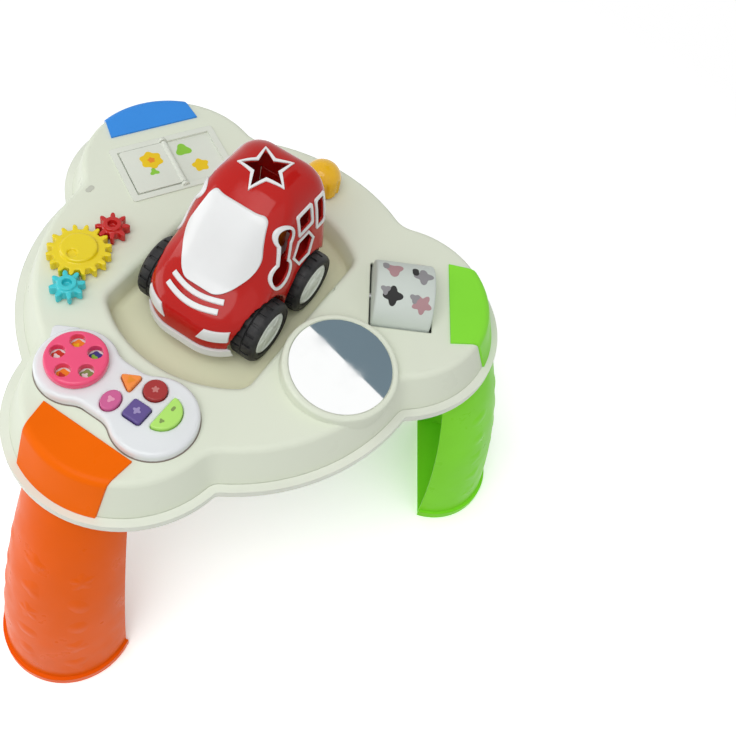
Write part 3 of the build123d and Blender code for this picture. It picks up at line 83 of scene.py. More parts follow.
class NodeBoard:
    """The nodes of a material or of the world, with short calls that add and join them."""

    edge_samples: int = 6

    def __init__(self, owner: Material | bpy.types.World) -> None:
        """Open the nodes.

        Args:
            owner: The material or the world.
        """
        owner.use_nodes = True
        self.owner = owner
        self.tree = owner.node_tree

    @classmethod
    def material(cls, name: str) -> "NodeBoard":
        """Start a material with a principled shader."""
        return cls(bpy.data.materials.new(name))

    @property
    def shader(self) -> bpy.types.Node:
        """The material's principled shader."""
        return self.tree.nodes["Principled BSDF"]

    @cached_property
    def point(self) -> Socket:
        """The object's own coordinates."""
        return self.add("ShaderNodeTexCoord").outputs["Object"]

    def add(self, kind: str, *sources: Socket, **settings: object) -> bpy.types.Node:
        """Add a node.

        Args:
            kind: The node's type name.
            sources: Outputs to link to its first inputs.
            settings: Properties to set on it.

        Returns:
            The new node.
        """
        node = self.tree.nodes.new(kind)
        for key, value in settings.items():
            setattr(node, key, value)
        for source, target in zip(sources, node.inputs):
            self.join(source, target)
        return node

    def join(self, source: Socket, target: Socket) -> None:
        """Link an output to an input."""
        self.tree.links.new(source, target)

    def set(self, **values: object) -> None:
        """Set plain values on the shader's own sockets, named with underscores for spaces."""
        for key, value in values.items():
            self.shader.inputs[key.replace("_", " ")].default_value = value

    def feed(self, **sources: Socket) -> None:
        """Link outputs to the shader's own sockets, named as in set."""
        for key, source in sources.items():
            self.join(source, self.shader.inputs[key.replace("_", " ")])

    def noise(self, scale: float, detail: float = 3.0) -> Socket:
        """Noise over the object's own coordinates.

        Args:
            scale: Cells per metre.
            detail: Octaves.

        Returns:
            The noise's factor.
        """
        node = self.add("ShaderNodeTexNoise", self.point)
        node.inputs["Scale"].default_value = scale
        node.inputs["Detail"].default_value = detail
        return node.outputs["Fac"]

    def span(self, factor: Socket, ends: Flat, values: Flat) -> Socket:
        """Map a factor between two ends to a span of values.

        Args:
            factor: The socket to map.
            ends: The factor at either end.
            values: The mapped value at either end.

        Returns:
            The mapped value.
        """
        node = self.add("ShaderNodeMapRange", factor)
        for key, value in zip(("From Min", "From Max", "To Min", "To Max"), (*ends, *values)):
            node.inputs[key].default_value = value
        return node.outputs["Result"]

    def mix(self, factor: Socket, first: Colour, second: Colour) -> Socket:
        """Mix two colours.

        Args:
            factor: The share of the second colour.
            first: Colour at nought.
            second: Colour at one.

        Returns:
            The mixed colour.
        """
        # The node's colour sockets share their names with its other sockets, so they go by number.
        first_in, second_in, colour_out = 6, 7, 2
        node = self.add("ShaderNodeMix", factor, data_type="RGBA")
        node.inputs[first_in].default_value = (*first, 1.0)
        node.inputs[second_in].default_value = (*second, 1.0)
        return node.outputs[colour_out]

    def relief(self, height: Socket, strength: float, depth: float, edge: float) -> None:
        """Give the shader a fine relief and soft edges.

        Args:
            height: The relief's height.
            strength: Share of the relief that shows.
            depth: The relief's depth in metres.
            edge: Radius in metres that sharp edges are softened to.
        """
        bump = self.add("ShaderNodeBump")
        bump.inputs["Strength"].default_value = strength
        bump.inputs["Distance"].default_value = depth
        self.join(height, bump.inputs["Height"])
        if edge > 0:
            bevel = self.add("ShaderNodeBevel", samples=self.edge_samples)
            bevel.inputs["Radius"].default_value = edge
            self.join(bevel.outputs["Normal"], bump.inputs["Normal"])
        self.feed(Normal=bump.outputs["Normal"])

    def reach(self) -> Socket:
        """Measure the distance from the object's own z axis.

        Returns:
            The distance in metres.
        """
        plan = self.add("ShaderNodeVectorMath", self.point, operation="MULTIPLY")
        plan.inputs[1].default_value = (1.0, 1.0, 0.0)
        return self.add("ShaderNodeVectorMath", plan.outputs["Vector"], operation="LENGTH").outputs["Value"]

    def both(self, kind: str, first: Socket, second: Socket) -> Socket:
        """Combine two factors by an operation of that kind."""
        return self.add("ShaderNodeMath", first, second, operation=kind).outputs[0]

    def blend(self, factor: Socket, first: Socket, second: Socket) -> Socket:
        """Mix two shaders, by a factor that is the second one's share."""
        return self.add("ShaderNodeMixShader", factor, first, second).outputs[0]

    def seen(self) -> Socket:
        """Tell what is looked at, straight, in a reflection or through something clear.

        Returns:
            One for such rays and nought for light that bounces.
        """
        path = self.add("ShaderNodeLightPath").outputs
        mirrored = self.both("MAXIMUM", path["Is Camera Ray"], path["Is Glossy Ray"])
        return self.both("MAXIMUM", mirrored, path["Is Transmission Ray"])

    def shade(self, kind: str, colour: Colour = (1.0, 1.0, 1.0)) -> Socket:
        """Add a plain shader.

        Args:
            kind: The shader's type name.
            colour: Its colour.

        Returns:
            The shader.
        """
        node = self.add(kind)
        node.inputs["Color"].default_value = (*colour, 1.0)
        return node.outputs[0]

    def surface(self, shader: Socket) -> Material:
        """Show a shader on the surface, and return the material."""
        self.add("ShaderNodeOutputMaterial", shader)
        return self.owner


class Finish(Protocol):
    """Anything that can make a material."""

    name: str

    def mix(self) -> Material:
        """Make the finish's material."""


@dataclass(frozen=True)
class Plastic:
    """Moulded plastic with a slightly clouded colour, a fine grain and soft edges."""

    name: str
    colour: Colour
    grain: Grain = Grain.SATIN
    cloud: float = 0.04
    edge_mm: float = 0.6
    cloud_scale: float = 14.0
    rub_scale: float = 45.0
    grain_scale: float = 1400.0
    grain_mm: float = 0.4
    coat_rough: float = 0.08
    ior: float = 1.5

    def tone(self, board: NodeBoard) -> Socket:
        """Cloud the plastic's colour.

        Args:
            board: The material's nodes.

        Returns:
            The colour.
        """
        dark = tuple(c * (1 - self.cloud) for c in self.colour)
        light = tuple(min(1.0, c * (1 + self.cloud)) for c in self.colour)
        clouds = board.span(board.noise(self.cloud_scale), NOISE_ENDS, RISE)
        return board.mix(clouds, dark, light)

    def mix(self) -> Material:
        """Make the plastic's material.

        Returns:
            The material.
        """
        board = NodeBoard.material(self.name)
        gloss = self.grain.value
        rubbed = board.span(board.noise(self.rub_scale, detail=5.0), NOISE_ENDS, (gloss.low, gloss.high))
        board.feed(Base_Color=self.tone(board), Roughness=rubbed)
        board.set(IOR=self.ior, Specular_IOR_Level=gloss.specular)
        board.set(Coat_Weight=gloss.coat, Coat_Roughness=self.coat_rough)
        grain = board.noise(self.grain_scale, detail=2.0)
        board.relief(grain, gloss.bump, self.grain_mm * MM, self.edge_mm * MM)
        return board.owner


@dataclass(frozen=True)
class DockShadedPlastic(Plastic):
    """Plastic with painted shade: a deeper, warmer colour inside the table's sunken dock."""

    dock_shade_colour: Colour = (0.740, 0.745, 0.540)
    dock_top: float = 294.0
    dock_floor: float = 274.0
    dock_reach: float = 120.0
    dock_fade: float = 8.0

    def tone(self, board: NodeBoard) -> Socket:
        """Paint shade: deepen and warm the colour where the surface lies low and near the axis.

        Args:
            board: The material's nodes.

        Returns:
            The colour.
        """
        height = board.add("ShaderNodeSeparateXYZ", board.point).outputs["Z"]
        low = board.span(height, (self.dock_floor * MM, self.dock_top * MM), FALL)
        ends = (self.dock_reach * MM, (self.dock_reach + self.dock_fade) * MM)
        near = board.span(board.reach(), ends, FALL)
        # Painted shade: the sunken dock's surfaces take the darker, warmer dock colour.
        return board.mix(board.both("MULTIPLY", low, near), self.colour, self.dock_shade_colour)


@dataclass(frozen=True)
class Rubber:
    """Dull black rubber, greyed a little by dust."""

    name: str
    colour: Colour = (0.014, 0.014, 0.015)
    dust: Colour = (0.040, 0.039, 0.038)
    dust_scale: float = 160.0
    dust_ends: Flat = (0.45, 0.75)
    rough: Flat = (0.42, 0.68)
    grain_scale: float = 900.0

    def mix(self) -> Material:
        """Make the rubber's material.

        Returns:
            The material.
        """
        board = NodeBoard.material(self.name)
        dust = board.span(board.noise(self.dust_scale, detail=6.0), self.dust_ends, RISE)
        tone = board.mix(dust, self.colour, self.dust)
        board.feed(Base_Color=tone, Roughness=board.span(dust, RISE, self.rough))
        board.set(Specular_IOR_Level=0.3)
        grain = board.noise(self.grain_scale, detail=4.0)
        board.relief(grain, strength=0.25, depth=0.5 * MM, edge=0.5 * MM)
        return board.owner


@dataclass(frozen=True)
class MirrorSheet:
    """Silvered acrylic with faint smears."""

    name: str
    colour: Colour = (0.98, 0.99, 0.985)
    smear_scale: float = 28.0
    smear_ends: Flat = (0.5, 0.8)
    smear_dull: float = 0.95
    rough: Flat = (0.02, 0.08)

    def mix(self) -> Material:
        """Make the mirror's material.

        Returns:
            The material.
        """
        board = NodeBoard.material(self.name)
        smear = board.span(board.noise(self.smear_scale, detail=6.0), self.smear_ends, RISE)
        dull = tuple(c * self.smear_dull for c in self.colour)
        tone = board.mix(smear, self.colour, dull)
        board.feed(Base_Color=tone, Roughness=board.span(smear, RISE, self.rough))
        board.set(Metallic=1.0)
        return board.owner


@dataclass(frozen=True)
class Metal:
    """Bright drawn metal with fine streaks."""

    name: str
    colour: Colour = (0.62, 0.62, 0.64)
    streak_scale: float = 700.0
    streak_dark: float = 0.8
    rough: Flat = (0.22, 0.42)

    def mix(self) -> Material:
        """Make the metal's material.

        Returns:
            The material.
        """
        board = NodeBoard.material(self.name)
        streak = board.noise(self.streak_scale, detail=4.0)
        dark = tuple(c * self.streak_dark for c in self.colour)
        tone = board.mix(streak, dark, self.colour)
        board.feed(Base_Color=tone, Roughness=board.span(streak, NOISE_ENDS, self.rough))
        board.set(Metallic=1.0)
        board.relief(streak, strength=0.1, depth=0.2 * MM, edge=0.3 * MM)
        return board.owner


def ink(name: str, colour: Colour) -> Plastic:
    """A matt printed colour, also used for the keys' painted highlights."""
    return Plastic(f"ink_{name}", colour, Grain.MATT, edge_mm=0.0)


# Painted shade: the cream moulding deepens and warms its colour inside the sunken dock.
CREAM = DockShadedPlastic("cream_moulding", (0.740, 0.785, 0.655), edge_mm=2.0)
CREAM_LIP = Plastic("cream_lip", (0.755, 0.785, 0.690), edge_mm=1.0)
# Painted shade: grey for the small dimple beside the page.
DIMPLE_SHADE_GREY = Plastic("dimple_painted_shade", (0.550, 0.570, 0.490))
LILAC = Plastic("panel_moulding", (0.760, 0.785, 0.800), Grain.POLISHED)
ORANGE = Plastic("orange_moulding", (0.830, 0.116, 0.001))
ORANGE_CAP = Plastic("orange_cap_moulding", (0.870, 0.138, 0.001))
GREEN = Plastic("green_moulding", (0.240, 0.770, 0.030))
GREEN_CAP = Plastic("green_cap_moulding", (0.255, 0.770, 0.050))
BLUE = Plastic("blue_moulding", (0.050, 0.280, 0.780))
RED = Plastic("red_moulding", (0.470, 0.009, 0.006), Grain.LACQUERED, cloud=0.03, edge_mm=1.2)
GEAR_RED = Plastic("gear_red", (0.520, 0.012, 0.010), Grain.POLISHED)
WHITE = Plastic("white_moulding", (0.770, 0.785, 0.785), Grain.POLISHED)
PAGE_WHITE = Plastic("page_white", (0.730, 0.765, 0.680))
DRUM_WHITE = Plastic("drum_white", (0.590, 0.645, 0.600))
HUB_WHITE = Plastic("hub_white", (0.800, 0.840, 0.790))
PINK = Plastic("dial_pink", (0.830, 0.075, 0.190), Grain.POLISHED)
YELLOW = Plastic("gear_yellow", (0.800, 0.630, 0.008), Grain.POLISHED)
TEAL = Plastic("gear_teal", (0.045, 0.575, 0.630), Grain.POLISHED)
AMBER = Plastic("knob_amber", (0.870, 0.490, 0.004), Grain.POLISHED)
KEY_ORANGE = Plastic("key_orange", (0.920, 0.270, 0.045), Grain.POLISHED)
KEY_MAROON = Plastic("key_maroon", (0.370, 0.020, 0.020), Grain.POLISHED)
KEY_MAGENTA = Plastic("key_magenta", (0.600, 0.110, 0.290), Grain.POLISHED)
KEY_PURPLE = Plastic("key_purple", (0.110, 0.070, 0.265), Grain.POLISHED)
KEY_LIME = Plastic("key_lime", (0.440, 0.780, 0.150), Grain.POLISHED)
BLOCK_GREEN = Plastic("block_green", (0.110, 0.520, 0.040))
BLOCK_RED = Plastic("block_red", (0.600, 0.030, 0.015))
BLOCK_ORANGE = Plastic("block_orange", (0.850, 0.260, 0.015))
INK_GREY = ink("grey", (0.270, 0.265, 0.275))
INK_ROSE = ink("rose", (0.420, 0.250, 0.265))
INK_BLACK = ink("black", (0.032, 0.032, 0.032))
INK_WHITE = ink("white", (0.800, 0.810, 0.800))
INK_YELLOW = ink("yellow", (0.830, 0.570, 0.020))
INK_GREEN = ink("green", (0.270, 0.590, 0.060))
INK_MOSS = ink("moss", (0.230, 0.330, 0.100))
# Orange print, also the triangle key's painted highlight.
ORANGE_INK_AND_HIGHLIGHT = ink("orange", (0.820, 0.270, 0.030))
INK_RED = ink("red", (0.560, 0.050, 0.030))
INK_NAVY = ink("navy", (0.060, 0.060, 0.270))
# Blush for the round key's painted highlight.
BLUSH_HIGHLIGHT = ink("blush_highlight", (0.560, 0.200, 0.190))
INK_PETAL = ink("petal", (0.760, 0.320, 0.470))
INK_LILAC = ink("lilac", (0.330, 0.270, 0.500))
BOARD_GREEN = Plastic("board_green", (0.020, 0.120, 0.050))
CASE_BLACK = Plastic("case_black", (0.025, 0.025, 0.027), Grain.MATT)
PAD_GREY = Plastic("pad_grey", (0.110, 0.110, 0.115), Grain.MATT)
# Painted shadow: brown for the gap round the panel's foot.
GAP_SHADOW_BROWN = Plastic("gap_shadow_brown", (0.230, 0.190, 0.160), Grain.MATT, edge_mm=0.0)
TYRE_BLACK = Rubber("tyre_black")
MIRROR = MirrorSheet("mirror_sheet")
STEEL = Metal("bright_steel")


class Bench:
    """The modelling moves: what a maker does with one piece at a time."""

    weld_mm: float = 0.01
    sliver_mm: float = 0.005
    blot_sides: int = 30
    blot_cuts: int = 3
    _coats: dict[str, Material] = {}

    @classmethod
    def coat(cls, obj: Piece, finish: Finish) -> None:
        """Give an object one finish all over; pieces of one finish share its material.

        Args:
            obj: The piece.
            finish: Its finish.
        """
        if finish.name not in cls._coats:
            cls._coats[finish.name] = finish.mix()
        obj.data.materials.clear()
        obj.data.materials.append(cls._coats[finish.name])

    @classmethod
    def dress(cls, finish: Finish, *nodes: str) -> None:
        """Give one finish to the frame's solids of these names."""
        for node in nodes:
            cls.coat(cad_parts[node], finish)

    @staticmethod
    def take(obj: Piece) -> None:
        """Select one object alone and make it active.

        Args:
            obj: The piece.
        """
        bpy.ops.object.select_all(action="DESELECT")
        obj.select_set(True)
        bpy.context.view_layer.objects.active = obj

    @staticmethod
    def make(name: str, add: Callable[..., set[str]], **settings: object) -> Piece:
        """Add a primitive.

        Args:
            name: The piece's name.
            add: The operator that adds it.
            settings: The operator's settings.

        Returns:
            The new piece, selected alone.
        """
        bpy.ops.object.select_all(action="DESELECT")
        add(**settings)
        obj = bpy.context.view_layer.objects.active
        obj.name = name
        obj.data.name = name
        return obj

    @staticmethod
    def twin(mesh: bpy.types.Mesh, name: str) -> Piece:
        """Copy a mesh into a piece of its own.

        Args:
            mesh: The mesh to copy.
            name: The new piece's name.

        Returns:
            The new piece.
        """
        obj = bpy.data.objects.new(name, mesh.copy())
        obj.data.name = name
        bpy.context.scene.collection.objects.link(obj)
        return obj

    @classmethod
    @contextmanager
    def editing(cls, obj: Piece) -> Iterator[None]:
        """Open a piece's whole mesh in edit mode, and close it again.

        Args:
            obj: The piece.

        Returns:
            The opened mesh's context.
        """
        cls.take(obj)
        bpy.ops.object.mode_set(mode="EDIT")
        bpy.ops.mesh.select_all(action="SELECT")
        yield
        bpy.ops.object.mode_set(mode="OBJECT")

    @classmethod
    def modify(cls, obj: Piece, kind: str, **settings: object) -> None:
        """Add a modifier and apply it.

        Args:
            obj: The piece.
            kind: The modifier's type.
            settings: Its settings.
        """
        cls.take(obj)
        modifier = obj.modifiers.new(kind.lower(), kind)
        for key, value in settings.items():
            setattr(modifier, key, value)
        bpy.ops.object.modifier_apply(modifier=modifier.name)

    @classmethod
    def close(cls, obj: Piece) -> None:
        """Merge doubles and turn all faces outwards.

        Args:
            obj: The piece.
        """
        with cls.editing(obj):
            bpy.ops.mesh.remove_doubles(threshold=cls.weld_mm * MM)
            bpy.ops.mesh.dissolve_degenerate(threshold=cls.sliver_mm * MM)
            bpy.ops.mesh.normals_make_consistent(inside=False)

    @classmethod
    def smooth(cls, obj: Piece, angle: float) -> None:
        """Shade smooth, with edges sharper than the angle left crisp."""
        cls.take(obj)
        bpy.ops.object.shade_smooth_by_angle(angle=math.radians(angle))

    @classmethod
    def press(cls, obj: Piece, wanted: Callable[[Face], bool], wall_mm: float, up_mm: float) -> None:
        """Raise or sink some faces, with a sloping wall round them.

        Args:
            obj: The piece.
            wanted: Says whether a face is moved.
            wall_mm: The wall's width.
            up_mm: How far the faces rise; less than nought sinks them.
        """
        with cls.editing(obj):
            bpy.ops.mesh.select_mode(type="FACE")
            bpy.ops.mesh.select_all(action="DESELECT")
        for face in obj.data.polygons:
            face.select = wanted(face)
        bpy.ops.object.mode_set(mode="EDIT")
        bpy.ops.mesh.inset(thickness=wall_mm * MM, depth=up_mm * MM)
        bpy.ops.object.mode_set(mode="OBJECT")

    @classmethod
    def cut(cls, obj: Piece, at_mm: Point, side: Point) -> None:
        """Cut a piece off at a plane and close the cut.

        Args:
            obj: The piece.
            at_mm: A point of the plane.
            side: The direction that is cut away.
        """
        with cls.editing(obj):
            spot = [c * MM for c in at_mm]
            bpy.ops.mesh.bisect(plane_co=spot, plane_no=side, clear_outer=True, use_fill=True)
        cls.close(obj)

    @classmethod
    def lathe(cls, name: str, profile: Sequence[Flat], steps: int) -> Piece:
        """Turn a closed profile about the z axis.

        Args:
            name: The piece's name.
            profile: Radius and height of each corner, in millimetres.
            steps: Segments round the axis.

        Returns:
            The turned piece.
        """
        obj = cls.make(name, bpy.ops.mesh.primitive_circle_add, vertices=len(profile), fill_type="NOTHING")
        for vertex, (radius, height) in zip(obj.data.vertices, profile):
            vertex.co = (radius * MM, 0, height * MM)
        with cls.editing(obj):
            bpy.ops.mesh.spin(steps=steps, angle=math.tau, center=(0, 0, 0), axis=(0, 0, 1))
        cls.close(obj)
        return obj

    @classmethod
    def moulded(cls, node: str, name: str, cell_mm: float, passes: int) -> Piece:
        """Copy a solid and round its edges, as they come out of a mould.

        Args:
            node: The solid's name.
            name: The new piece's name.
            cell_mm: Fineness of the new skin.
            passes: How often the skin is smoothed.

        Returns:
            The rounded copy.
        """
        obj = cls.twin(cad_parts[node].data, name)
        cls.close(obj)
        cls.modify(obj, "REMESH", mode="VOXEL", voxel_size=cell_mm * MM, use_smooth_shade=True)
        cls.modify(obj, "SMOOTH", factor=0.5, iterations=passes)
        return obj

    @classmethod
    def blot(cls, name: str, shape: Shape, thick_mm: float) -> Piece:
        """A flat print with a waved outline, such as a disc, clover or flower, on the z plane.

        Args:
            name: The piece's name.
            shape: Mean radius in millimetres, waves round the outline, and their depth as a share.
            thick_mm: Its thickness, or nought for a bare sheet.

        Returns:
            The print.
        """
        fan = {"vertices": cls.blot_sides, "radius": shape[0] * MM, "fill_type": "TRIFAN"}
        obj = cls.make(name, bpy.ops.mesh.primitive_circle_add, **fan)
        with cls.editing(obj):
            bpy.ops.mesh.subdivide(number_cuts=cls.blot_cuts)
        for vertex in obj.data.vertices:
            vertex.co *= ripple(shape, vertex.co)
        if thick_mm > 0:
            with cls.editing(obj):
                bpy.ops.mesh.extrude_region_move(TRANSFORM_OT_translate={"value": (0, 0, thick_mm * MM)})
            cls.close(obj)
        return obj

    @classmethod
    def place(cls, obj: Piece, matrix: Matrix) -> None:
        """Move a piece's mesh by a matrix, with its object left at the origin.

        Args:
            obj: The piece.
            matrix: Its place and turn.
        """
        cls.take(obj)
        bpy.ops.object.transform_apply(location=True, rotation=True, scale=True)
        obj.data.transform(matrix)
        obj.data.update()

    @classmethod
    def unite(cls, pieces: Sequence[Piece]) -> Piece:
        """Join pieces into the first one.

        Args:
            pieces: The pieces.

        Returns:
            The joined piece.
        """
        cls.take(pieces[0])
        for piece in pieces:
            piece.select_set(True)
        bpy.ops.object.join()
        return pieces[0]

    @classmethod
    def hand_over(cls, obj: Piece, body: str, slot: str, finish: Finish, nodes: Sequence[str] = ()) -> None:
        """Dress a finished piece and let it ride on its body.

        Args:
            obj: The piece.
            body: The body that it moves with.
            slot: The record's material slot; not used.
            finish: Its finish.
            nodes: Solids that it stands for.
        """
        cls.coat(obj, finish)
        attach(obj, body)
        if nodes:
            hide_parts(*nodes)
        LOG.info("%s rides on %s, %d faces", obj.name, body, len(obj.data.polygons))

    @classmethod
    def stamp(cls, name: str, body: str, seat: Matrix, shape: Shape, up_mm: float, finish: Finish) -> None:
        """Print one waved shape on a level face.

        Args:
            name: The piece's name.
            body: The body that carries it.
            seat: Its place on the face.
            shape: Mean radius, petals and wave.
            up_mm: Its thickness.
            finish: Its ink.
        """
        obj = cls.blot(name, shape, up_mm)
        cls.place(obj, seat @ shift(0, 0, -INK_SINK))
        cls.hand_over(obj, body, "white", finish)


def turn(axis: str, degrees: float) -> Matrix:
    """Rotation about an axis through the origin, as a 4 by 4 matrix."""
    return Matrix.Rotation(math.radians(degrees), 4, axis)


def shift(x: float, y: float, z: float) -> Matrix:
    """Translation given in millimetres."""
    return Matrix.Translation((x * MM, y * MM, z * MM))


def polar(distance: float, angle: float) -> Flat:
    """Plan point at a distance from the table's axis, in the direction angle."""
    return distance * math.cos(math.radians(angle)), distance * math.sin(math.radians(angle))


def ripple(shape: Shape, spot: Vector) -> float:
    """Reach of a waved outline in a spot's direction, as a share of its mean radius."""
    _, petals, wave = shape
    return 1 + wave * math.cos(petals * math.atan2(spot.y, spot.x))


@dataclass
class Casing:
    """Table top, base cover, caps and the pieces inside, which keep their solids."""

    table_h: float = TABLE_H
    dimple_at: Flat = (152.0, -89.0)
    dimple: Shape = (3.4, 2, 0.3)
    dimple_up: float = 0.25
    dimple_sink: float = 0.05

    def build(self) -> None:
        """Give each solid its finish and lay a thin grey disc beside the page, set slightly into the top,
        as painted shade for a small dimple.
        """
        Bench.dress(CREAM, "table_top", "battery_box")
        Bench.dress(CREAM_LIP, "base_cover", "battery_door")
        Bench.dress(ORANGE_CAP, "orange_cap")
        Bench.dress(GREEN_CAP, "green_cap")
        Bench.dress(BLUE, "blue_cap")
        Bench.dress(CASE_BLACK, "batteries", "speaker")
        Bench.dress(BOARD_GREEN, "circuit_board")
        Bench.dress(PAD_GREY, "button_pad")
        Bench.dress(STEEL, "leg_screws", "cover_screws", "panel_screws", "door_screw")
        Bench.dress(STEEL, "battery_contacts", "roller_axle", "page_pin")
        # Painted shade: a grey disc stands in for the dark of a small dimple.
        mark = Bench.blot("table_dimple_shade", self.dimple, self.dimple_up)
        Bench.place(mark, shift(*polar(*self.dimple_at), self.table_h - self.dimple_sink))
        Bench.hand_over(mark, "table", "cream", DIMPLE_SHADE_GREY)


@dataclass
class LegSet:
    """Three splayed legs with a shallow raised pattern on their outsides."""

    top_d: float = 187.0
    middle_d: float = 211.0
    foot_d: float = 227.5
    top_r: float = 41.0
    middle_r: float = 51.5
    foot_r: float = 57.0
    middle_z: float = 140.0
    top_z: float = 252.0
    relief: float = 1.0
    stand_off: float = 7.0
    rim_sink: float = 0.1
    skin: float = 0.8
    lowest: float = 38.0
    rise: float = 34.0
    rows: int = 5
    columns: int = 3
    spread: float = 46.0
    stagger: float = 0.35
    twist: float = 31.0
    shapes: tuple[Shape, ...] = (
        (12.5, 5, 0.2), (11.5, 0, 0.0), (13.0, 3, 0.22), (12.0, 2, 0.24), (12.5, 4, 0.18)
    )

    def between(self, z: float, foot: float, middle: float, top: float) -> float:
        """Size at a height, from its values at the foot, the middle and the top.

        Args:
            z: The height.
            foot: The value at the floor.
            middle: The value at the leg's middle.
            top: The value under the table.

        Returns:
            The value at that height.
        """
        if z < self.middle_z:
            return foot + (middle - foot) * z / self.middle_z
        return middle + (top - middle) * (z - self.middle_z) / (self.top_z - self.middle_z)

    def raised(self, row: int, column: int) -> Piece:
        """Raise one waved shape on the outside of the orange leg.

        Args:
            row: Its row, counted upwards.
            column: Its column round the leg.

        Returns:
            The raised shape.
        """
        shape = self.shapes[(2 * row + column) % len(self.shapes)]
        z = self.lowest + self.rise * row + self.rise * self.stagger * (column % 2)
        swing = self.spread * (column - (self.columns - 1) / 2)
        distance = self.between(z, self.foot_d, self.middle_d, self.top_d)
        reach = self.between(z, self.foot_r, self.middle_r, self.top_r) + self.stand_off
        obj = Bench.blot(f"leg_shape_{row}_{column}", shape, 0.0)
        swells = []
        for vertex in obj.data.vertices:
            outline = shape[0] * MM * ripple(shape, vertex.co)
            swells.append(self.relief * (1 - (vertex.co.length / outline) ** 2) ** 2 - self.rim_sink)
        spot = shift(distance, 0, z) @ turn("Z", swing) @ shift(reach, 0, 0)
        Bench.place(obj, spot @ turn("Y", 90) @ turn("Z", self.twist * (row + 2 * column)))
        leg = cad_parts["orange_leg"]
        Bench.modify(obj, "SHRINKWRAP", target=leg, wrap_method="NEAREST_SURFACEPOINT")
        outwards = [vertex.normal.copy() for vertex in obj.data.vertices]
        for vertex, normal, swell in zip(obj.data.vertices, outwards, swells):
            vertex.co += normal * swell * MM
        Bench.modify(obj, "SOLIDIFY", thickness=self.skin * MM, offset=-1.0)
        return obj

    def build(self) -> None:
        """Model the pattern once, copy it to each leg and dress the legs."""
        shapes = [self.raised(row, column) for row in range(self.rows) for column in range(self.columns)]
        pattern = Bench.unite(shapes)
        Bench.smooth(pattern, angle=50)
        legs = (("orange", 0.0, ORANGE), ("green", 120.0, GREEN), ("blue", 240.0, BLUE))
        for name, angle, finish in legs:
            Bench.dress(finish, f"{name}_leg")
            relief = Bench.twin(pattern.data, f"{name}_leg_relief")
            Bench.place(relief, turn("Z", angle))
            Bench.hand_over(relief, "table", name, finish)
        bpy.data.objects.remove(pattern)


@dataclass
class Mirror:
    """Round safety mirror in its tilted bezel."""

    angle: float = 78.0
    distance: float = 122.0
    rise: float = 11.0
    tilt: float = 6.0
    radius: float = 42.0
    thick: float = 2.5
    sink: float = 0.6
    ease: float = 0.5
    table_h: float = TABLE_H

    def build(self) -> None:
        """Turn the mirror sheet with an eased edge and lay it in the bezel."""
        r, back = self.radius, -self.thick
        profile = ((0.0, back), (r, back), (r, -self.ease), (r - self.ease, 0.0), (0.0, 0.0))
        obj = Bench.lathe("mirror_glass", profile, steps=128)
        x, y = polar(self.distance, self.angle)
        face = shift(x, y, self.table_h + self.rise) @ turn("Z", self.angle) @ turn("Y", self.tilt)
        Bench.place(obj, face @ shift(0, 0, -self.sink))
        Bench.smooth(obj, angle=30)
        Bench.hand_over(obj, "table", "mirror", MIRROR, ["mirror_disc"])


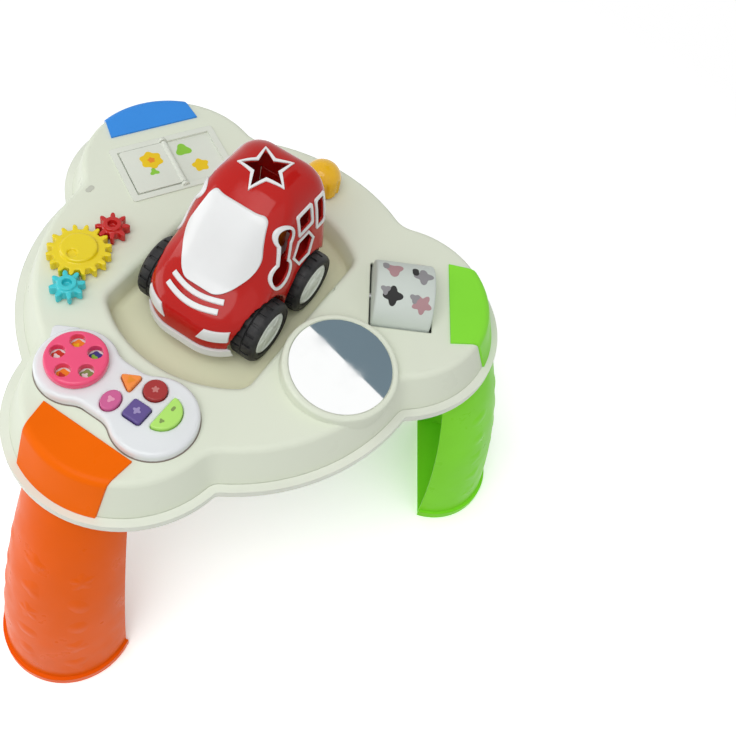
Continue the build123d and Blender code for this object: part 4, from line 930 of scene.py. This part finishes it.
@dataclass
class Roller:
    """White drum with a label of printed shapes."""

    angle: float = 120.0
    distance: float = 139.0
    axis_z: float = 291.0
    radius: float = 31.5
    length: float = 50.0
    bore: float = 2.55
    columns: Flat = (-12.5, 12.0)
    rows: tuple[float, ...] = (-14.0, 32.0, 150.0, 196.0, 242.0, 288.0)
    stagger: float = 8.0
    print_up: float = 0.12
    main_r: float = 6.9
    main_wave: float = 0.24
    main_along: float = 2.0
    side_r: float = 3.6
    side_wave: float = 0.26
    side_along: float = -4.5
    side_around: float = -8.0
    end_curve: tuple[Flat, ...] = ((2.5, 0.0), (0.9, 0.5), (0.2, 1.4), (0.0, 2.6))
    plug_r: float = 2.62
    plug_l: float = 25.0
    plug_middle: float = -56.5
    wall_at: Point = (-40.1, 69.6, 291.0)
    wall_lean: float = 0.46

    def seat(self) -> Matrix:
        """The drum's own frame.

        Returns:
            A matrix with z along the axle and x up.
        """
        out = Vector((*polar(1, self.angle), 0))
        up = Vector((0, 0, 1))
        side = out.cross(up)
        x, y = polar(self.distance, self.angle)
        matrix = Matrix((up, side, out)).transposed().to_4x4()
        return shift(x, y, self.axis_z) @ matrix

    def drum(self) -> None:
        """Turn the drum with rounded ends."""
        half = self.length / 2
        near = [(self.radius - inwards, -half + along) for inwards, along in self.end_curve]
        far = [(self.radius - inwards, half - along) for inwards, along in reversed(self.end_curve)]
        profile = ((self.bore, -half), *near, *far, (self.bore, half))
        obj = Bench.lathe("roller_sleeve", profile, steps=96)
        Bench.place(obj, self.seat())
        Bench.smooth(obj, angle=40)
        Bench.hand_over(obj, "roller", "white", DRUM_WHITE, ["roller_drum", "roller_cap"])

    def stamp(self, name: str, shape: Shape, at: Flat, layer: int, finish: Finish) -> None:
        """Print one waved shape round the drum.

        Args:
            name: The piece's name.
            shape: Mean radius, petals and wave.
            at: Its place along the axle, and round the drum in degrees from the top.
            layer: How many prints lie under it.
            finish: Its ink.
        """
        along, around = at
        obj = Bench.blot(name, shape, self.print_up)
        skin = (self.radius - INK_SINK + layer * self.print_up) * MM
        for vertex in obj.data.vertices:
            reach = skin + vertex.co.z
            swing = math.radians(around) + vertex.co.x / (self.radius * MM)
            vertex.co = (reach * math.cos(swing), reach * math.sin(swing), along * MM + vertex.co.y)
        Bench.place(obj, self.seat())
        Bench.close(obj)
        Bench.hand_over(obj, "roller", "white", finish)

    def prints(self) -> None:
        """Print a large and a small shape at each place of the label."""
        inks = ((INK_ROSE, INK_GREY), (INK_BLACK, INK_GREY), (INK_GREY, INK_ROSE), (INK_GREY, INK_BLACK))
        for i, row in enumerate(self.rows):
            for j, along in enumerate(self.columns):
                main_ink, side_ink = inks[(i + 3 * j) % len(inks)]
                around = row + self.stagger * j
                name = f"roller_print_{i}_{j}"
                main = (self.main_r, 3 + (i + j) % 3, self.main_wave)
                side = (self.side_r, 2 + i % 3, self.side_wave)
                beside = (along + self.side_along, around + self.side_around)
                self.stamp(name, main, (along + self.main_along, around), 0, main_ink)
                self.stamp(f"{name}_side", side, beside, 1, side_ink)

    def plug(self) -> None:
        """Close the axle's bore with a pin that is cut flush with the dock's wall."""
        pin = {"vertices": 32, "radius": self.plug_r * MM, "depth": self.plug_l * MM}
        obj = Bench.make("axle_plug", bpy.ops.mesh.primitive_cylinder_add, **pin)
        Bench.place(obj, self.seat() @ shift(0, 0, self.plug_middle))
        Bench.cut(obj, self.wall_at, (0, -1, self.wall_lean))
        Bench.smooth(obj, angle=40)
        Bench.hand_over(obj, "table", "cream", CREAM)

    def build(self) -> None:
        """Build the drum, its prints and the plug of its bore."""
        self.drum()
        self.prints()
        self.plug()


@dataclass
class GearTrain:
    """Three meshed gears and the turning knob, with moulded edges."""

    cell: float = 0.55
    passes: int = 9

    def build(self) -> None:
        """Round the solids' edges and dress them."""
        pieces = (
            ("yellow_gear", "big_gear", "yellow", YELLOW),
            ("teal_gear", "outer_gear", "teal", TEAL),
            ("red_gear", "inner_gear", "red", GEAR_RED),
            ("turn_knob", "knob", "amber", AMBER),
        )
        for node, body, slot, finish in pieces:
            obj = Bench.moulded(node, f"moulded_{node}", self.cell, self.passes)
            Bench.hand_over(obj, body, slot, finish, [node])


@dataclass
class ControlPanel:
    """Waisted panel with a finger dial and five shaped keys."""

    table_h: float = TABLE_H
    top_z: float = 303.9
    key_up: float = 2.6
    dial_at: Flat = (145.0, -41.0)
    picture_z: float = 304.7
    picture_d: float = 14.5
    mark_up: float = 0.15
    gap_shadow_w: float = 0.7
    gap_shadow_h: float = 0.35
    gap_shadow_lift: float = 0.02
    corner_share: float = 1.4
    picture: Shape = (4.9, 5, 0.1)
    spot_r: float = 2.3
    spot_wave: float = 0.25
    spot_off: Flat = (1.2, -0.8)

    def gap_shadow(self) -> None:
        """Lay a thin brown strip round the panel's foot, painted shadow for the gap where the panel meets
        the table.
        """
        # Painted shadow: the strip stands in for the shade in the gap round the panel.
        obj = Bench.twin(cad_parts["panel_housing"].data, "panel_gap_shadow")
        Bench.close(obj)
        Bench.cut(obj, (0, 0, self.table_h + self.gap_shadow_h), (0, 0, 1))
        Bench.modify(obj, "DISPLACE", strength=self.corner_share * self.gap_shadow_w * MM, mid_level=0.0)
        middle = (self.table_h + self.gap_shadow_h / 2) * MM
        for vertex in obj.data.vertices:
            above = vertex.co.z > middle
            vertex.co.z = (self.table_h + (self.gap_shadow_h if above else self.gap_shadow_lift)) * MM
        Bench.close(obj)
        Bench.hand_over(obj, "table", "pad", GAP_SHADOW_BROWN)

    def keys(self) -> None:
        """Round and dress the keys, print their marks and paint highlights on the triangle and round keys.
        """
        keys = (
            ("triangle", "orange", KEY_ORANGE),
            ("round", "maroon", KEY_MAROON),
            ("oval", "magenta", KEY_MAGENTA),
            ("square", "purple", KEY_PURPLE),
            ("moon", "lime", KEY_LIME),
        )
        for key, slot, finish in keys:
            obj = Bench.moulded(f"{key}_button", f"moulded_{key}_button", cell_mm=0.4, passes=4)
            Bench.hand_over(obj, f"{key}_key", slot, finish, [f"{key}_button"])
        face = self.top_z + self.key_up
        marks = (
            # Painted highlight: a lighter orange triangle on the triangle key.
            ("triangle", "triangle_painted_highlight", (133.7, 1.0), (2.6, 3, 0.25), ORANGE_INK_AND_HIGHLIGHT),
            # Painted highlight: a pale blush spot on the glossy round key.
            ("round", "round_painted_highlight", (129.0, 20.5), (2.4, 5, 0.24), BLUSH_HIGHLIGHT),
            ("oval", "oval_mark", (155.0, 0.0), (2.4, 3, 0.28), INK_PETAL),
            ("square", "square_mark", (151.0, 21.0), (2.6, 4, 0.28), INK_LILAC),
            ("moon", "moon_mark", (134.0, 41.0), (1.7, 2, 0.3), INK_MOSS),
            ("moon", "moon_mark_far", (147.0, 40.5), (1.7, 3, 0.25), INK_MOSS),
        )
        for key, name, at, shape, finish in marks:
            Bench.stamp(name, f"{key}_key", shift(*at, face), shape, self.mark_up, finish)

    def pictures(self) -> None:
        """Print a two-coloured patch under each finger hole."""
        Bench.dress(INK_WHITE, "picture_disc")
        inks = (
            (ORANGE_INK_AND_HIGHLIGHT, INK_RED),
            (INK_MOSS, INK_WHITE),
            (INK_NAVY, INK_GREEN),
            (ORANGE_INK_AND_HIGHLIGHT, INK_YELLOW),
            (INK_RED, INK_WHITE),
        )
        for i, (under, over) in enumerate(inks):
            hole = polar(self.picture_d, 360.0 * i / len(inks))
            seat = shift(*self.dial_at, self.picture_z) @ shift(*hole, 0)
            Bench.stamp(f"dial_picture_{i}", "table", seat, self.picture, self.mark_up, under)
            seat = seat @ shift(*self.spot_off, self.mark_up)
            spot = (self.spot_r, 3 + i % 2, self.spot_wave)
            Bench.stamp(f"dial_spot_{i}", "table", seat, spot, self.mark_up, over)

    def build(self) -> None:
        """Round and dress the housing and dial, then finish the small pieces."""
        housing = Bench.moulded("panel_housing", "moulded_panel", cell_mm=0.8, passes=4)
        Bench.hand_over(housing, "table", "lilac", LILAC, ["panel_housing"])
        dial = Bench.moulded("dial", "moulded_dial", cell_mm=0.55, passes=4)
        Bench.hand_over(dial, "dial", "pink", PINK, ["dial"])
        self.gap_shadow()
        self.keys()
        self.pictures()


@dataclass
class PageTurner:
    """Tray with printed pages and a hinged leaf."""

    angle: float = 240.0
    distance: float = 135.0
    page_z: float = 294.0
    leaf_z: float = 296.9
    under_z: float = 294.34
    print_up: float = 0.10

    def build(self) -> None:
        """Dress the tray and leaf and print the pages."""
        Bench.dress(PAGE_WHITE, "page_tray", "page_leaf")
        over = self.leaf_z + self.print_up
        below = self.under_z - self.print_up
        prints = (
            ("leaf_flower", "page", (8.0, 18.0, self.leaf_z), (9.6, 6, 0.1), INK_YELLOW),
            ("leaf_flower_eye", "page", (8.0, 18.0, over), (3.0, 5, 0.15), ORANGE_INK_AND_HIGHLIGHT),
            ("leaf_sprig", "page", (-6.0, 20.5, self.leaf_z), (3.6, 3, 0.3), INK_GREEN),
            ("page_sprig", "table", (13.0, -14.0, self.page_z), (6.6, 3, 0.2), INK_GREEN),
            ("page_flower", "table", (-9.0, -22.0, self.page_z), (7.0, 5, 0.14), INK_YELLOW),
            ("page_clover", "table", (8.0, 20.0, self.page_z), (7.2, 4, 0.2), INK_GREEN),
            ("page_spot", "table", (-10.0, 21.0, self.page_z), (5.0, 6, 0.08), INK_RED),
            ("leaf_back_flower", "page", (6.0, 19.0, self.under_z), (8.4, 5, 0.14), ORANGE_INK_AND_HIGHLIGHT),
            ("leaf_back_eye", "page", (6.0, 19.0, below), (2.8, 4, 0.12), INK_YELLOW),
        )
        for name, body, (out, across, z), shape, finish in prints:
            seat = turn("Z", self.angle) @ shift(self.distance + out, across, z)
            Bench.stamp(name, body, seat, shape, self.print_up, finish)


@dataclass
class SorterCar:
    """Lift-out sorter car with moulded body, trims, wheels and loose blocks."""

    base_z: float = 271.3
    wheel_r: float = 27.0
    wheel_w: float = 22.0
    wheel_out: float = 57.0
    wheel_base: float = 62.0
    hub_r: float = 18.85
    hub_pads: int = 6
    hub_depth: float = 20.0
    hub_gap: float = 0.15
    pad_up: float = 0.5
    pad_wall: float = 0.5
    pad_share: float = 0.6
    pad_ring: Flat = (7.2, 4.4)
    treads: int = 36
    tread_deep: float = 1.4
    tread_wall: float = 0.15
    tread_skin: float = 0.5
    floor_z: float = 36.0
    block_h: float = 34.0
    block_edge: float = 1.2

    def body(self) -> None:
        """Round the body's edges and dress the trims."""
        shell = Bench.moulded("car_body", "moulded_body", cell_mm=1.25, passes=6)
        Bench.hand_over(shell, "car", "red", RED, ["car_body"])
        Bench.dress(WHITE, "windscreen", "star_trim", "left_window_trims", "right_window_trims")
        Bench.dress(WHITE, "bonnet_stripes", "headlights", "car_chassis")
        Bench.dress(RED, "front_lip", "rear_hatch")
        Bench.dress(STEEL, "front_axle", "rear_axle")

    def tyre(self) -> Piece:
        """Turn one tyre about the z axis and cut its tread.

        Returns:
            The tyre, with its outer face up.
        """
        r, w, hub = self.wheel_r, self.wheel_w, self.hub_r + self.hub_gap
        inner = ((hub, -w), (r - 4.0, -w), (r - 1.6, -w + 1.0), (r - 0.3, -w + 3.0), (r, -w + 6.0))
        channel = ((r, -w / 2 - 0.8), (r - 1.2, -w / 2), (r, -w / 2 + 0.8))
        shoulder = ((r, -6.0), (r - 0.3, -3.0), (r - 1.6, -0.9), (r - 3.6, 0.0))
        face = ((r - 4.4, -0.5), (r - 5.2, -0.2), (r - 6.0, 0.0), (hub + 0.4, -0.4), (hub, -1.2))
        obj = Bench.lathe("tyre_pattern", (*inner, *channel, *shoulder, *face), steps=2 * self.treads)
        Bench.press(obj, self.in_groove, self.tread_wall, -self.tread_deep)
        Bench.smooth(obj, angle=40)
        return obj

    def in_groove(self, face: Face) -> bool:
        """Say whether a face lies in a groove: every fourth strip of each half of the tread.

        Args:
            face: A face of the tyre.

        Returns:
            True where the tread is cut.
        """
        middle = face.center
        if math.hypot(middle.x, middle.y) < (self.wheel_r - self.tread_skin) * MM:
            return False
        step = math.tau / (2 * self.treads)
        strip = int((math.atan2(middle.y, middle.x) % math.tau) / step)
        upper = middle.z > -self.wheel_w / 2 * MM
        return strip % 4 == (0 if upper else 2)

    def hub(self) -> Piece:
        """Turn one hub cap about the z axis, with a ring, raised pads and a domed middle.

        Returns:
            The hub cap, with its outer face up.
        """
        r = self.hub_r
        barrel = ((0.0, -self.hub_depth), (r, -self.hub_depth), (r, -2.0))
        ring = ((r - 0.8, -1.0), (r - 2.4, -0.4), (r - 3.2, -1.6), (r - 4.2, -1.9))
        dome = ((7.0, -1.6), (6.0, -1.4), (5.4, -0.8), (3.0, -0.5), (0.0, -0.4))
        obj = Bench.lathe("hub_pattern", (*barrel, *ring, *dome), steps=72)
        Bench.press(obj, self.in_pad, self.pad_wall, self.pad_up)
        Bench.smooth(obj, angle=35)
        return obj

    def in_pad(self, face: Face) -> bool:
        """Say whether a face lies in one of the pads between ring and middle.

        Args:
            face: A face of the hub cap.

        Returns:
            True inside a pad.
        """
        middle = face.center
        inside, rim = self.pad_ring
        reach = math.hypot(middle.x, middle.y)
        if not inside * MM < reach < (self.hub_r - rim) * MM or face.normal.z < 0.5:
            return False
        pad = math.tau / self.hub_pads
        return (math.atan2(middle.y, middle.x) % pad) < self.pad_share * pad

    def wheels(self) -> None:
        """Model one tyre and one hub cap and copy them to the four wheels."""
        patterns = (self.tyre(), self.hub())
        for axle, x in (("front", self.wheel_base / 2), ("rear", -self.wheel_base / 2)):
            for hand, side in (("left", 1), ("right", -1)):
                middle = shift(x, side * self.wheel_out, self.base_z + self.wheel_r)
                names = (f"{axle}_{hand}_rubber", f"{axle}_{hand}_hub")
                tyre, hub = (Bench.twin(pattern.data, name) for pattern, name in zip(patterns, names))
                for piece in (tyre, hub):
                    Bench.place(piece, middle @ turn("X", -90.0 * side))
                Bench.hand_over(tyre, f"{axle}_wheels", "tyre", TYRE_BLACK, [f"{axle}_{hand}_tyre"])
                Bench.hand_over(hub, f"{axle}_wheels", "hub_white", HUB_WHITE, [f"{axle}_hub_caps"])
        for pattern in patterns:
            bpy.data.objects.remove(pattern)

    def blocks(self) -> None:
        """Shape the three loose blocks, each in its own colour."""
        z = self.base_z + self.floor_z
        shapes = (
            ("block_prism", 3, 14.0, (12.0, 10.0), 30.0, BLOCK_GREEN),
            ("block_cube", 4, 15.4, (-16.0, 8.0), 45.0, BLOCK_RED),
            ("block_rod", 40, 11.0, (-42.0, 6.0), 0.0, BLOCK_ORANGE),
        )
        for name, sides, radius, at, spin, finish in shapes:
            block = {"vertices": sides, "radius": radius * MM, "depth": self.block_h * MM}
            obj = Bench.make(name, bpy.ops.mesh.primitive_cylinder_add, **block)
            Bench.place(obj, shift(*at, z + self.block_h / 2) @ turn("Z", spin))
            Bench.modify(obj, "BEVEL", width=self.block_edge * MM, segments=3, limit_method="ANGLE")
            Bench.smooth(obj, angle=40)
            Bench.hand_over(obj, "car", "mixed_blocks", finish, ["shape_blocks"])

    def build(self) -> None:
        """Build the car."""
        self.body()
        self.wheels()
        self.blocks()


@dataclass(frozen=True)
class Lamp:
    """A soft square lamp: its name, place and side in metres, and power in watts."""

    name: str
    at: Point
    size: float
    power: float

    def hang(self, target: Vector) -> None:
        """Hang the lamp so that it faces a target.

        Args:
            target: The point that it lights.
        """
        bpy.ops.object.light_add(type="AREA", location=self.at)
        lamp = bpy.context.view_layer.objects.active
        lamp.name = self.name
        lamp.data.size = self.size
        lamp.data.energy = self.power
        lamp.rotation_euler = (target - Vector(self.at)).to_track_quat("-Z", "Y").to_euler()


@dataclass
class Studio:
    """Pale floor, soft light and the camera at the photograph's angle."""

    unit: float = 0.160
    table_h: float = TABLE_H * MM
    azimuth: float = 1.9343006
    elevation: float = 0.9247567
    distance: float = 5.20828
    focal_px: float = 1002.502
    target: Flat = (-0.250525, 0.522488)
    roll: float = 0.2528404
    centre_px: Flat = (345.445, 297.102)
    frame_px: float = 736.0
    sensor_mm: float = 36.0
    nearest: float = 0.01
    room_level: float = 0.52
    floor_size: float = 12.0
    paper: Colour = (0.80, 0.80, 0.80)
    paper_shown: Colour = (0.65, 0.65, 0.65)
    fade: Flat = (0.42, 1.0)
    card_colour: Colour = (0.16, 0.22, 0.26)
    card_at: Point = (-0.777, 0.154, 1.30)
    card_size: float = 0.50
    card_turn: float = -7.5
    lamps: tuple[Lamp, ...] = (
        Lamp("key_lamp", (0.9, 0.0, 2.0), 1.4, 18.5),
        Lamp("fill_lamp", (0.6, 1.5, 1.6), 1.4, 2.5),
        Lamp("low_lamp", (0.8, -1.5, 0.45), 1.0, 7.0),
    )

    def floor(self) -> None:
        """Lay a wide floor that shows the object's shadow near it and fades to white further out."""
        floor = Bench.make("studio_floor", bpy.ops.mesh.primitive_plane_add, size=self.floor_size)
        board = NodeBoard.material("studio_paper")
        board.tree.nodes.clear()
        paper = board.shade("ShaderNodeBsdfDiffuse", self.paper)
        shown = board.shade("ShaderNodeBsdfDiffuse", self.paper_shown)
        lifted = board.add("ShaderNodeAddShader", paper, shown).outputs[0]
        white = board.shade("ShaderNodeEmission")
        far = board.span(board.reach(), self.fade, RISE)
        sight = board.blend(far, lifted, white)
        floor.data.materials.append(board.surface(board.blend(board.seen(), paper, sight)))

    def sky(self) -> None:
        """Light the whole room evenly, and show it as white."""
        world = bpy.data.worlds.new("studio_room")
        bpy.context.scene.world = world
        board = NodeBoard(world)
        shade = board.tree.nodes["Background"]
        shade.inputs["Color"].default_value = (1.0, 1.0, 1.0, 1.0)
        level = board.span(board.seen(), RISE, (self.room_level, 1.0))
        board.join(level, shade.inputs["Strength"])

    def card(self) -> None:
        """Hang a level grey card that only the reflections show."""
        card = Bench.make("studio_card", bpy.ops.mesh.primitive_plane_add, size=self.card_size)
        Bench.place(card, Matrix.Translation(self.card_at) @ turn("Z", self.card_turn))
        board = NodeBoard.material("studio_card_grey")
        board.tree.nodes.clear()
        glossy = board.add("ShaderNodeLightPath").outputs["Is Glossy Ray"]
        clear = board.shade("ShaderNodeBsdfTransparent")
        grey = board.shade("ShaderNodeEmission", self.card_colour)
        card.data.materials.append(board.surface(board.blend(glossy, clear, grey)))

    def camera(self) -> None:
        """Set the camera where the photograph was taken."""
        flat = math.cos(self.elevation)
        east, north = math.sin(self.azimuth) * flat, -math.cos(self.azimuth) * flat
        back = Vector((east, north, math.sin(self.elevation)))
        aim = Vector((self.target[0] * self.unit, self.target[1] * self.unit, self.table_h))
        spot = aim + back * self.distance * self.unit
        level = (-back).cross(Vector((0, 0, 1))).normalized()
        upright = level.cross(-back)
        right = math.cos(self.roll) * level + math.sin(self.roll) * upright
        up = -math.sin(self.roll) * level + math.cos(self.roll) * upright
        bpy.ops.object.camera_add()
        camera = bpy.context.view_layer.objects.active
        camera.name = "photo_camera"
        camera.matrix_world = Matrix.Translation(spot) @ Matrix((right, up, back)).transposed().to_4x4()
        camera.data.sensor_fit = "HORIZONTAL"
        camera.data.sensor_width = self.sensor_mm
        camera.data.lens = self.focal_px / self.frame_px * self.sensor_mm
        camera.data.shift_x = (self.frame_px / 2 - self.centre_px[0]) / self.frame_px
        camera.data.shift_y = (self.centre_px[1] - self.frame_px / 2) / self.frame_px
        camera.data.clip_start = self.nearest
        bpy.context.scene.camera = camera

    def build(self) -> None:
        """Set up floor, light and camera."""
        self.floor()
        self.sky()
        self.card()
        for lamp in self.lamps:
            lamp.hang(Vector((0, 0, self.table_h)))
        self.camera()
        bpy.context.scene.view_settings.view_transform = "Standard"


def save_sizes() -> None:
    """Update the view layer."""
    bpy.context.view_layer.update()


def main() -> None:
    """Build every sub-assembly in order."""
    logging.basicConfig(level=logging.INFO, format="%(name)s: %(message)s")
    table = (Casing(), LegSet(), Mirror(), Roller(), GearTrain(), ControlPanel(), PageTurner())
    for assembly in (*table, SorterCar(), Studio()):
        LOG.info("building %s", type(assembly).__name__)
        assembly.build()
    save_sizes()


if __name__ == "__main__":
    main()
